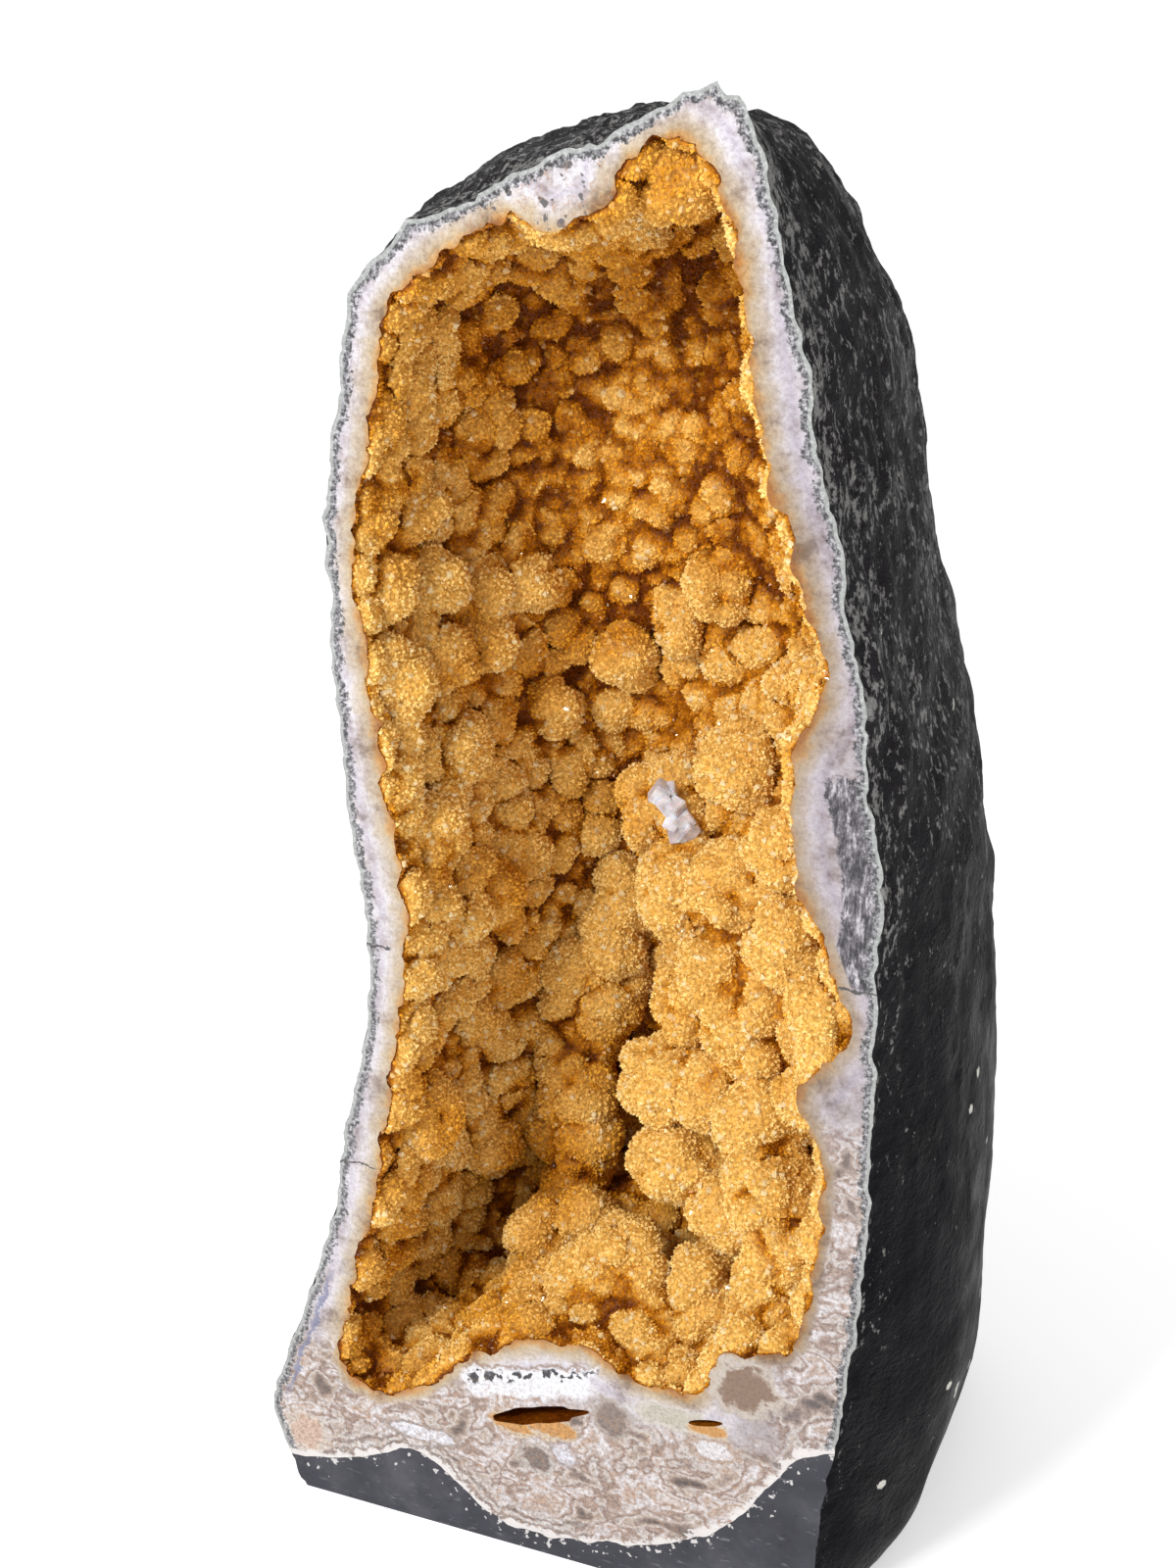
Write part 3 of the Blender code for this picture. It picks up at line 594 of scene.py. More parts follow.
def cad_relief(places):
    """How far the rock bulges out of its smooth form, as in the CAD."""
    rough = SMOOTHEST_SHARE + (1 - SMOOTHEST_SHARE) * smooth_step(SMOOTH_BELOW, ROUGH_ABOVE, places[:, 2])
    bulge = [noise.noise(Vector(place) / BULGE_SIZE + BULGE_PLACE) for place in places]
    lump = [noise.noise(Vector(place) / LUMP_SIZE + LUMP_PLACE) for place in places]
    return BULGE_RISE * np.array(bulge) + LUMP_RISE * np.array(lump) * rough


def fine_relief(places):
    """Crags and grit of the rock under its paint: strong above, weak near the foot."""
    rough = LEAST_CRAGS + (1 - LEAST_CRAGS) * smooth_step(*CRAGS_GROW, places[:, 2])
    crags = np.abs(fractal_noise(places * STREAK_STRETCH, CRAG_SIZE, CRAG_SEED, 2))
    grit = lattice_noise(places, GRIT_SIZE, GRIT_SEED)
    return rough * (CRAG_RISE * (2 * crags - CRAG_LEVEL) + GRIT_RISE * grit)


def shared_normals(grids):
    """The outward normal at each point of a left and a right grid, the same on both where they meet."""
    places = np.vstack([grid.reshape(-1, 3) for grid in grids])
    ids = np.unique(np.round(places * 1e6).astype(np.int64), axis=0, return_inverse=True)[1].ravel()
    columns, rows = grids[0].shape[:2]
    index = np.arange(columns * rows).reshape(columns, rows)
    total = np.zeros((ids.max() + 1, 3))
    for side, grid in enumerate(grids):
        across = grid[1:, 1:] - grid[:-1, :-1]
        along = grid[1:, :-1] - grid[:-1, 1:]
        facing = np.cross(along, across) * (1 if side else -1)
        for corner in (index[:-1, :-1], index[:-1, 1:], index[1:, :-1], index[1:, 1:]):
            np.add.at(total, ids[corner.ravel() + side * columns * rows], facing.reshape(-1, 3))
    return np.split(unit(total)[ids].reshape(2, columns, rows, 3), 2)


def rough_outside():
    """The rock's outside as two grids, with its bulges, crags and chipped front edge."""
    face = outline_sides(FACE_LEFT, FACE_RIGHT, BODY_ROWS)
    widest = outline_sides(WIDEST_LEFT, WIDEST_RIGHT, BODY_ROWS)
    body = [np.hstack(pair) for pair in zip(face, widest)]
    grids = rings(body, BODY_SPINE, np.linspace(0, 1, BODY_RINGS + 1), body_ring)
    moved = []
    for grid, normals in zip(grids, shared_normals(grids)):
        places = grid.reshape(-1, 3)
        relief = cad_relief(places) + fine_relief(places)
        chips = EDGE_CHIP_RISE * fractal_noise(places, EDGE_CHIP_SIZE, EDGE_CHIP_SEED, 2)
        chips = chips * (places[:, 1] < EDGE_CHIP_DEPTH)
        places = places + normals.reshape(-1, 3) * (relief + chips)[:, None]
        places[:, 1] = np.maximum(places[:, 1], 0)
        places = places.reshape(grid.shape)
        places[0, :, 1] = 0
        moved.append(places)
    return moved


def flat_ring(rim, spine, turn):
    """One ring of the flat sawn face, from the spine at turn 0 to the rim at turn 1."""
    flat = spine + turn * (rim - spine)
    return np.stack([flat[:, 0], np.zeros(len(flat)), flat[:, 1]], axis=1)


def stone_mesh():
    """The whole stone with its foot, closed, before the hollow is cut out; and the rim of its flat face."""
    outer = rough_outside()
    rims = [grid[0][:, [0, 2]] for grid in outer]
    face = rings(rims, BODY_SPINE, np.linspace(0, 1, FACE_RINGS)[:-1], flat_ring)
    stone = solid_from("stone", [np.concatenate(pair) for pair in zip(face, outer)])
    return stone, np.vstack([dense(rim) for rim in rims])


def point_tree(points):
    tree = KDTree(len(points))
    for i, point in enumerate(points):
        tree.insert(point, i)
    tree.balance()
    return tree


def nearest(points, line):
    """For each point (x, z) of the face, the nearest point of a line of close points, and how far it is."""
    tree = point_tree([(x, 0, z) for x, z in line])
    found = [tree.find((x, 0, z)) for x, z in points]
    return np.array([each[1] for each in found], int), np.array([each[2] for each in found])


def from_hollow(points):
    """Distance of each point of the face from the hollow's outline, below zero inside it."""
    loop = closed_loop(outline_sides(HOLLOW_LEFT, HOLLOW_RIGHT, LINE_ROWS))
    picks, away = nearest(points, loop)
    outward = outward_of(loop)[picks]
    return np.where(np.sum((points - loop[picks]) * outward, axis=1) < 0, -away, away)


def dense(line):
    """The line with two more points between each two."""
    steps = [line[:-1] + share * np.diff(line, axis=0) for share in (0, 1 / 3, 2 / 3)]
    return np.vstack(steps)


def mark_face(data, rim):
    """Stores each front vertex's distance, in millimetres, from the hollow, the outside and the seam."""
    places = vertex_vectors(data, "co")
    front = places[:, 1] < MARKED_DEPTH
    flat = places[front][:, [0, 2]]
    measured = {
        "from_hollow": from_hollow(flat),
        "to_outside": nearest(flat, rim)[1],
        "to_seam": nearest(flat, smooth_path(SEAM, LINE_ROWS))[1],
    }
    for name, found in measured.items():
        values = np.zeros(len(places))
        values[front] = 1000 * found
        set_values(data, name, values)


def front_faces(data, depth):
    """True for each face that looks forward and lies in the sawn face, or at most a depth behind it."""
    middles = values_of(data.polygons, "center", 3)
    facing = values_of(data.polygons, "normal", 3)
    return (facing[:, 1] < LOOKS_FORWARD) & (middles[:, 1] < depth)


def paint_faces(data, numbers):
    """Gives each face the material of that number."""
    data.polygons.foreach_set("material_index", np.asarray(numbers, np.int32))


def in_pockets(points, grow):
    found = np.zeros(len(points), bool)
    for middle, half_size, tilt in POCKETS:
        away = points - np.array(middle)
        across = away[:, 0] * math.cos(tilt) - away[:, 2] * math.sin(tilt)
        upward = away[:, 2] * math.cos(tilt) + away[:, 0] * math.sin(tilt)
        turned = np.stack([across, away[:, 1], upward], axis=1)
        found |= np.sum((turned / (np.array(half_size) * grow)) ** 2, axis=1) < 1
    return found


def ball_arrays(balls, subdivisions):
    """Places and triangles of a round ball for each middle and radius."""
    pattern = bmesh.new()
    bmesh.ops.create_icosphere(pattern, subdivisions=subdivisions, radius=1)
    corners = np.array([vert.co for vert in pattern.verts])
    faces = np.array([[vert.index for vert in face.verts] for face in pattern.faces])
    pattern.free()
    balls = np.array(balls)
    places = balls[:, None, :3] + corners * balls[:, None, 3:]
    faces = faces + np.arange(len(balls))[:, None, None] * len(corners)
    return places.reshape(-1, 3), faces.reshape(-1, 3)


def lumps_of_the_crust():
    """Every ball of the crust: the placed lumps, smaller ones on each of them, and small ones on the wall."""
    dice = np.random.default_rng(LUMP_SEED)
    placed = PLACED_LUMPS + pillar_lumps(dice)
    plain = [(x, max(y, radius + BEHIND_THE_FACE), z, radius) for x, y, z, radius in placed]
    balls = list(plain)
    for x, y, z, radius in plain:
        ways = dice.normal(size=(SUB_LUMPS, 3))
        ways[:, 1] = -np.abs(ways[:, 1])
        shares = dice.uniform(*SUB_LUMP_SHARE, SUB_LUMPS)
        reach = SUB_LUMP_OUT - SUB_LUMP_IN * shares[:, None]
        middles = np.array((x, y, z)) + unit(ways) * radius * reach
        middles[:, 1] = np.maximum(middles[:, 1], shares * radius + BEHIND_THE_FACE)
        balls += [(*middle, share * radius) for middle, share in zip(middles, shares)]
    return balls + wall_lumps(dice)


def pillar_lumps(dice):
    """A knobbly ridge up the hollow's back: small balls strung along the CAD's larger ones."""
    route = np.array(BACK_PILLAR)[:, :3]
    middles = smooth_path(route, PILLAR_STEPS * len(route))
    middles = middles + dice.normal(0, PILLAR_JITTER, middles.shape)
    return [(*middle, dice.uniform(*PILLAR_RADIUS)) for middle in middles]


def wall_lumps(dice):
    """Small lumps all over the wall, sunk deeper towards the top where the crust is smoother."""
    sides = outline_sides(HOLLOW_LEFT, HOLLOW_RIGHT, LUMP_ROWS)
    wall = rings(sides, HOLLOW_SPINE, np.linspace(0, 1, LUMP_RINGS), inside_ring)
    places = []
    outward = []
    for side, grid in enumerate(wall):
        down = grid[1:, :-1] - grid[:-1, :-1]
        along = grid[:-1, 1:] - grid[:-1, :-1]
        facing = np.cross(along, down) * (-1 if side else 1)
        places.append(grid[:-1, :-1].reshape(-1, 3))
        outward.append(facing.reshape(-1, 3))
    places = np.vstack(places)
    outward = np.vstack(outward)
    weights = np.linalg.norm(outward, axis=1)
    outward = unit(outward)
    weights[places[:, 1] < LUMPS_FROM] = 0
    chosen = dice.choice(len(places), SMALL_LUMPS, replace=False, p=weights / weights.sum())
    radii = dice.uniform(*SMALL_LUMP_RADIUS, SMALL_LUMPS)
    sink = dice.uniform(LUMP_SINK[1], LUMP_SINK[0], SMALL_LUMPS)
    sink = sink + (LUMP_SINK[0] - sink) * smooth_step(*FLATTER_ABOVE, places[chosen, 2])
    radii = np.minimum(radii, RIM_LUMP_RADIUS + RIM_LUMP_GROWTH * places[chosen, 1])
    middles = places[chosen] + outward[chosen] * (radii * sink)[:, None]
    return [(*middle, radius) for middle, radius in zip(middles, radii)]


def lumpy_crust():
    """A thick open bowl round the hollow's space, melted together with every lump that stands in it."""
    sides = outline_sides(HOLLOW_LEFT, HOLLOW_RIGHT, HOLLOW_ROWS, RIM_OPENS)
    inner = rings(sides, HOLLOW_SPINE, np.linspace(1, 0, HOLLOW_RINGS + 1), inside_ring)
    grown = grown_from_spine(sides, HOLLOW_SPINE, BOWL_THICKNESS)
    turns = np.linspace(0, 1, HOLLOW_RINGS + 1)
    outer = rings(grown, HOLLOW_SPINE, turns, hollow_ring(BOWL_THICKNESS))
    grids = []
    for inside, outside in zip(inner, outer):
        lips = np.stack([inside[-1], outside[0]])
        lips[:, :, 1] = -LIP
        grids.append(np.concatenate([inside, lips, outside]))
    bowl = solid_from("bowl", grids)
    places, faces = ball_arrays(lumps_of_the_crust(), BALL_DETAIL)
    bowl_places = vertex_vectors(bowl, "co")
    bowl_faces = values_of(bowl.loops, "vertex_index", kind=np.int32).reshape(-1, 3)
    all_faces = np.vstack([bowl_faces, faces + len(bowl_places)])
    crust = mesh_from("crust", np.vstack([bowl_places, places]), all_faces)
    melt = ("SMOOTH", {"factor": MELT_FACTOR, "iterations": MELT_ROUNDS})
    return worked("crust", crust, [("REMESH", {"mode": "VOXEL", "voxel_size": CRUST_GRAIN}), melt])


def knob_heights(data, rounds):
    """How far each vertex stands out (or in, below zero) of the surface around it, in metres."""
    edges = values_of(data.edges, "vertices", 2, np.int32)
    ends = np.concatenate([edges[:, 0], edges[:, 1]])
    others = np.concatenate([edges[:, 1], edges[:, 0]])
    places = vertex_vectors(data, "co")
    counts = np.maximum(np.bincount(ends, minlength=len(places)), 1)
    eased = places.copy()
    for _ in range(rounds):
        sums = [np.bincount(ends, eased[others, axis], minlength=len(places)) for axis in range(3)]
        eased = np.stack(sums, axis=1) / counts[:, None]
    return np.sum((places - eased) * vertex_vectors(data, "vector"), axis=1)


def wall_mesh(grow, front):
    """The plain bowl round the hollow, grown outwards by a distance and shut flat at y = front."""
    sides = outline_sides(HOLLOW_LEFT, HOLLOW_RIGHT, WALL_ROWS, grow)
    wall = rings(sides, HOLLOW_SPINE, np.linspace(0, 1, WALL_RINGS + 1), hollow_ring(grow))
    grids = []
    for grid in wall:
        grid[:, :, 1] = np.maximum(grid[:, :, 1], front)
        lip = grid[0].copy()
        lip[:, 1] = front
        shut = lip.copy()
        shut[:, [0, 2]] = LID_MIDDLE
        grids.append(np.concatenate([shut[None], lip[None], grid]))
    return solid_from("wall", grids)


def crust_mesh():
    """The crust with its swells and domes as one closed mesh, cut off just behind the sawn face."""
    crust = lumpy_crust()
    places = vertex_vectors(crust, "co")
    drift = np.stack([lattice_noise(places, WARP_SIZE, WARP_SEED + axis) for axis in range(3)], axis=1)
    warped = places + WARP_REACH * drift
    rise = SWELL_RISE * fractal_noise(places, SWELL_SIZE, SWELL_SEED, 2)
    for size, height in zip(DOME_SIZES, DOME_RISES):
        rise += height * domes(warped, size, DOME_SEED)
    moved = places + vertex_vectors(crust, "vector") * rise[:, None]
    behind = places[:, 1] > RIM_GAP
    moved[behind, 1] = np.maximum(moved[behind, 1], RIM_GAP)
    set_places(crust, moved)
    # knob heights, which the materials use to paint shade in the crevices and light on the knobs
    set_values(crust, "knob", knob_scale(crust))
    set_values(crust, "inner", np.ones(len(crust.vertices)))
    wall = tool_object("wall", wall_mesh(CRUST_THICKNESS, SECTION_BACK))
    made = worked("citrine_crust", crust, [boolean(wall, "INTERSECT")])
    bpy.data.objects.remove(wall)
    return made


def knob_scale(data):
    """From 0 in the crevices to 1 on the knobs, from small and large knobs together."""
    total = 0
    for rounds, rise, weight in KNOB_SIZES:
        total = total + weight * np.clip(knob_heights(data, rounds) / rise, -1, 1)
    return np.clip(0.5 + 0.5 * total, 0, 1)


# Crystals of the druse: how many for each face of the crust, and their radius, height and lean
CRYSTALS_PER_FACE = 2.3
CRYSTAL_RADIUS = (0.00065, 0.00120)
CRYSTAL_HEIGHT = (0.55, 1.15)
CRYSTAL_LEAN = 0.30
CRYSTAL_SINK = 0.0004
CORNER_SPREAD = 0.18
CORNER_REACH = (0.85, 1.15)
TIP_OFF_CENTRE = 0.3
UPRIGHT = 0.9
LARGE_SHARE = 0.03
LARGE_TIMES = 1.5
LARGE_CORNERS = 6
SMALL_CORNERS = 4
TURNED_AWAY = 0.35
SHARE_TURNED_AWAY = 0.5
DRUSE_SEED = 19
DRUSE_PIECES = 4


def crystals(places, normals, radii, heights, corners, dice):
    """Low pyramids with flat faces that stand on a surface: their places and triangles."""
    count = len(places)
    lean = unit(normals + CRYSTAL_LEAN * dice.normal(size=(count, 3)))
    helper = np.where(np.abs(lean[:, 2:3]) < UPRIGHT, (0, 0, 1), (1, 0, 0))
    side = unit(np.cross(lean, helper))
    other = np.cross(lean, side)
    angles = dice.uniform(0, math.tau, (count, 1)) + np.arange(corners) * math.tau / corners
    angles = angles + dice.normal(0, CORNER_SPREAD, (count, corners))
    reach = radii[:, None] * dice.uniform(*CORNER_REACH, (count, corners))
    ring = (reach * np.cos(angles))[..., None] * side[:, None]
    ring += (reach * np.sin(angles))[..., None] * other[:, None]
    ring += (places - CRYSTAL_SINK * normals)[:, None]
    off_centre = radii * dice.uniform(-TIP_OFF_CENTRE, TIP_OFF_CENTRE, count)
    tips = places + lean * heights[:, None] + side * off_centre[:, None]
    points = np.concatenate([ring, tips[:, None]], axis=1)
    around = np.arange(corners)
    pattern = np.stack([around, (around + 1) % corners, np.full(corners, corners)], axis=1)
    faces = pattern + (np.arange(count) * (corners + 1))[:, None, None]
    return points.reshape(-1, 3), faces.reshape(-1, 3)


def druse_spots(crust, dice):
    """Spots on the crust's inner surface for crystals: place, normal and knob height of each."""
    inner = vertex_values(crust, "inner")
    knob = vertex_values(crust, "knob")
    places = vertex_vectors(crust, "co")
    normals = vertex_vectors(crust, "vector")
    facing = values_of(crust.polygons, "normal", 3)
    corner = values_of(crust.loops, "vertex_index", kind=np.int32)
    start = values_of(crust.polygons, "loop_start", kind=np.int32)
    corners = np.stack([corner[start + i] for i in range(3)], axis=1)
    grown = (inner[corners].min(axis=1) > 0.5) & ~front_faces(crust, SECTION_DEPTH)
    seen = np.where(facing[:, 1] > TURNED_AWAY, SHARE_TURNED_AWAY, 1.0)
    first, second, third = (places[corners[:, i]] for i in range(3))
    areas = np.linalg.norm(np.cross(second - first, third - first), axis=1)
    wanted = CRYSTALS_PER_FACE * seen * areas / CRUST_GRAIN**2
    counts = np.where(grown, np.floor(wanted + dice.random(len(wanted))), 0).astype(int)
    chosen = np.repeat(np.arange(len(corners)), counts)
    shares = dice.dirichlet((1, 1, 1), len(chosen))[..., None]
    spots = np.sum(places[corners[chosen]] * shares, axis=1)
    ways = unit(np.sum(normals[corners[chosen]] * shares, axis=1))
    return spots, ways, np.sum(knob[corners[chosen]] * shares[..., 0], axis=1)


def vertex_values(data, name):
    return values_of(data.attributes[name].data, "value")


def druse_mesh(name, spots, ways, knobs, dice):
    """One joined mesh of crystals: first the few large ones, in the clear material, then the small ones."""
    count = len(spots)
    large = dice.random(count) < LARGE_SHARE
    radii = dice.uniform(*CRYSTAL_RADIUS, count) * np.where(large, LARGE_TIMES, 1)
    heights = radii * dice.uniform(*CRYSTAL_HEIGHT, count)
    tints = dice.random(count)
    places = []
    faces = []
    values = {"knob": [], "tint": []}
    for chosen, corners in ((large, LARGE_CORNERS), (~large, SMALL_CORNERS)):
        made = crystals(spots[chosen], ways[chosen], radii[chosen], heights[chosen], corners, dice)
        faces.append(made[1] + sum(len(each) for each in places))
        places.append(made[0])
        # each crystal carries its knob height, for its painted shade and light
        values["knob"].append(np.repeat(knobs[chosen], corners + 1))
        values["tint"].append(np.repeat(tints[chosen], corners + 1))
    places = np.vstack(places)
    places[:, 1] = np.maximum(places[:, 1], SECTION_BACK)
    data = mesh_from(name, places, np.vstack(faces))
    paint_faces(data, np.arange(len(data.polygons)) < len(faces[0]))
    for key, found in values.items():
        set_values(data, key, np.concatenate(found))
    return data


def druse_meshes(crust):
    """The crystals of the crust in a few joined meshes, from the foot up."""
    dice = np.random.default_rng(DRUSE_SEED)
    spots, ways, knobs = druse_spots(crust, dice)
    meshes = []
    for number, share in enumerate(np.array_split(np.argsort(spots[:, 2]), DRUSE_PIECES)):
        name = f"citrine_druse_{number + 1}"
        meshes.append(druse_mesh(name, spots[share], ways[share], knobs[share], dice))
    return meshes


def add_node(tree, kind, inputs=(), **settings):
    """A shader node; each input is given a value or is linked to another node's output."""
    made = tree.nodes.new("ShaderNode" + kind)
    for key, value in settings.items():
        setattr(made, key, value)
    for key, value in dict(inputs).items():
        if isinstance(value, bpy.types.NodeSocket):
            tree.links.new(value, made.inputs[key])
        else:
            made.inputs[key].default_value = value
    return made


def new_material(name, **settings):
    """A material and its node tree, with constant settings on its surface."""
    material = bpy.data.materials.new(name)
    material.use_nodes = True
    tree = material.node_tree
    surface = tree.nodes["Principled BSDF"]
    for key, value in settings.items():
        surface.inputs[key.replace("_", " ")].default_value = value
    return material, tree, surface


def position(tree, scale=(1, 1, 1)):
    place = add_node(tree, "TexCoord").outputs["Object"]
    return add_node(tree, "Mapping", {"Vector": place, "Scale": scale}).outputs["Vector"]


def noise_value(tree, size, detail=3.0, rough=0.5, stretch=(1, 1, 1), distortion=0.0):
    """Noise from 0 to 1 with lumps of about the given size in metres."""
    inputs = {"Vector": position(tree, stretch), "Scale": 1 / size, "Detail": detail, "Roughness": rough,
              "Distortion": distortion}
    return add_node(tree, "TexNoise", inputs).outputs["Fac"]


def value_of(tree, name):
    return add_node(tree, "Attribute", attribute_name=name).outputs["Fac"]


def calc(tree, operation, *values, clamp=False):
    inputs = dict(enumerate(values))
    return add_node(tree, "Math", inputs, operation=operation, use_clamp=clamp).outputs[0]


def remap(tree, value, low, high, to_low=0.0, to_high=1.0):
    inputs = {"Value": value, "From Min": low, "From Max": high, "To Min": to_low, "To Max": to_high}
    return add_node(tree, "MapRange", inputs, interpolation_type="SMOOTHSTEP").outputs["Result"]


def ramp(tree, value, stops):
    """A colour for each value, from a list of (value, colour)."""
    made = add_node(tree, "ValToRGB", {"Fac": value})
    points = made.color_ramp.elements
    points.remove(points[1])
    points[0].position = stops[0][0]
    points[0].color = (*stops[0][1], 1)
    for place, colour in stops[1:]:
        points.new(place).color = (*colour, 1)
    return made.outputs["Color"]


def blend(tree, share, first, second, kind="MIX"):
    """Two colours mixed; a plain colour is three numbers."""
    made = add_node(tree, "Mix", data_type="RGBA", blend_type=kind)
    for socket, value in ((made.inputs[0], share), (made.inputs[6], first), (made.inputs[7], second)):
        if isinstance(value, bpy.types.NodeSocket):
            tree.links.new(value, socket)
        else:
            socket.default_value = (*value, 1) if isinstance(value, tuple) else value
    return made.outputs[2]


def bump(tree, height, depth, strength=1.0):
    inputs = {"Height": height, "Distance": depth, "Strength": strength}
    return add_node(tree, "Bump", inputs).outputs["Normal"]


def axis_of(tree, axis):
    """One of the face frame's coordinates, in metres."""
    place = add_node(tree, "TexCoord").outputs["Object"]
    return add_node(tree, "SeparateXYZ", {"Vector": place}).outputs[axis]


def around_zero(tree, value, reach):
    """Noise from 0 to 1 made to swing by the given reach on both sides of zero."""
    return calc(tree, "MULTIPLY_ADD", value, 2 * reach, -reach)


def citrine_tone_and_painted_shade(tree):
    """From 0, deep orange, to 1, pale, over random patches: painted shade low in crevices, at the back of the
    hollow, towards its top and on the lower left; painted light on the knobs and on the right.
    """
    patches = around_zero(tree, noise_value(tree, 0.036, detail=2), 0.70)
    # painted shade: darker deeper into the hollow
    deep = remap(tree, axis_of(tree, "Y"), 0.030, 0.110, 0.04, -0.09)
    # painted shade: darker towards the top of the hollow
    high = remap(tree, axis_of(tree, "Z"), 0.300, 0.500, 0.0, -0.28)
    # painted shade low on the left, painted light on the right
    left_painted_shade = remap(tree, axis_of(tree, "Z"), 0.100, 0.300, -0.16, 0.06)
    right = remap(tree, axis_of(tree, "X"), -0.050, 0.040, left_painted_shade, 0.10)
    total = calc(tree, "ADD", calc(tree, "ADD", patches, deep), calc(tree, "ADD", high, right))
    # the knob heights add painted light on the knobs and painted shade in the crevices
    return calc(tree, "ADD", total, value_of(tree, "knob"), clamp=True)


def citrine_material():
    """Honey-coloured crystals, each grain its own tint, with painted shade and light: deep orange in the
    crevices, pale on the knobs.
    """
    material, tree, surface = new_material(
        "citrine_druse", IOR=1.545, Transmission_Weight=0.0, Specular_IOR_Level=0.17)
    # colour from the citrine's tone with painted shade and light
    colour = ramp(tree, citrine_tone_and_painted_shade(tree), [
        (0.00, (0.200, 0.050, 0.001)), (0.25, (0.430, 0.135, 0.003)), (0.50, (0.660, 0.270, 0.012)),
        (0.72, (0.780, 0.390, 0.040)), (1.00, (0.880, 0.590, 0.190)),
    ])
    shade = ramp(tree, value_of(tree, "tint"), [
        (0.0, (0.58, 0.50, 0.38)), (0.5, (1, 1, 1)), (0.95, (1.10, 1.14, 1.2)), (1.0, (1.15, 1.35, 1.9)),
    ])
    tree.links.new(blend(tree, 0.85, colour, shade, "MULTIPLY"), surface.inputs["Base Color"])
    tree.links.new(remap(tree, value_of(tree, "tint"), 0.0, 1.0, 0.30, 0.12), surface.inputs["Roughness"])
    return material


def clear_citrine_material():
    """The few larger crystals: glassy, pale and see-through, so that they glint."""
    material, tree, surface = new_material(
        "clear_citrine", Roughness=0.05, IOR=1.545, Transmission_Weight=0.25)
    # the same painted shade and light as the small crystals
    colour = ramp(tree, citrine_tone_and_painted_shade(tree), [
        (0.00, (0.40, 0.15, 0.010)), (0.50, (0.80, 0.42, 0.08)), (1.00, (0.96, 0.76, 0.40)),
    ])
    tree.links.new(colour, surface.inputs["Base Color"])
    return material


def druse_base_material():
    """The crust under the crystals, which shows between them, with the same painted shade and light."""
    material, tree, surface = new_material(
        "citrine_crust", Roughness=0.45, IOR=1.545, Specular_IOR_Level=0.10)
    # painted shade in the crevices, at the back, top and lower left; painted light on the knobs and on the
    # right
    colour = ramp(tree, citrine_tone_and_painted_shade(tree), [
        (0.0, (0.160, 0.036, 0.001)), (0.5, (0.460, 0.165, 0.008)), (1.0, (0.760, 0.410, 0.080)),
    ])
    specks = noise_value(tree, 0.0012, detail=2)
    grain = ramp(tree, specks, [(0.35, (0.55, 0.50, 0.45)), (0.65, (1.1, 1.1, 1.1))])
    tree.links.new(blend(tree, 1.0, colour, grain, "MULTIPLY"), surface.inputs["Base Color"])
    tree.links.new(bump(tree, noise_value(tree, 0.0015, detail=2), 0.0006), surface.inputs["Normal"])
    return material


def window(tree, value, low, high, ease):
    """One between low and high, zero outside them, with soft ends."""
    rise = remap(tree, value, low - ease, low + ease)
    fall = remap(tree, value, high - ease, high + ease, 1.0, 0.0)
    return calc(tree, "MULTIPLY", rise, fall)


def all_of(tree, *masks):
    total = masks[0]
    for mask in masks[1:]:
        total = calc(tree, "MULTIPLY", total, mask)
    return total


def agate_bands(tree, wander):
    """Colours from the hollow outwards: amber quartz, beige, then white agate with lilac bands, with painted
    shade towards the right.
    """
    inward = calc(tree, "ADD", calc(tree, "MULTIPLY_ADD", wander, 4.2, value_of(tree, "from_hollow")), 2.4)
    bands = ramp(tree, calc(tree, "DIVIDE", inward, 22.0), [
        (0.00, (0.38, 0.14, 0.010)), (0.09, (0.46, 0.26, 0.090)), (0.18, (0.44, 0.34, 0.22)),
        (0.30, (0.48, 0.41, 0.34)), (0.42, (0.56, 0.53, 0.55)), (0.56, (0.47, 0.44, 0.50)),
        (0.68, (0.58, 0.56, 0.59)), (1.00, (0.46, 0.43, 0.45)),
    ])
    # painted shade: the bands darker towards the right
    shaded = remap(tree, axis_of(tree, "X"), 0.040, 0.080, 0.0, 0.85)
    banded = blend(tree, shaded, bands, (0.66, 0.62, 0.64), "MULTIPLY")
    clouds = noise_value(tree, 0.020, detail=4, rough=0.75)
    dirt = ramp(tree, clouds, [
        (0.36, (0.46, 0.39, 0.36)), (0.44, (0.80, 0.75, 0.73)), (0.52, (0.97, 0.96, 0.96)),
        (0.62, (1.05, 1.05, 1.06)),
    ])
    return blend(tree, 1.0, banded, dirt, "MULTIPLY")


def mottled_stone(tree, wander):
    """The mixed stone under the hollow: white, beige, pinkish and grey-brown in ragged patches."""
    patches = noise_value(tree, 0.019, detail=2, rough=0.60, stretch=(0.8, 1, 1.2), distortion=0.5)
    return ramp(tree, calc(tree, "MULTIPLY_ADD", wander, 0.16, patches), [
        (0.30, (0.075, 0.056, 0.050)), (0.37, (0.19, 0.140, 0.120)), (0.43, (0.42, 0.34, 0.29)),
        (0.47, (0.52, 0.48, 0.47)), (0.50, (0.24, 0.165, 0.135)), (0.53, (0.36, 0.27, 0.23)),
        (0.58, (0.60, 0.58, 0.60)), (0.64, (0.38, 0.27, 0.21)), (0.69, (0.56, 0.52, 0.51)),
    ])


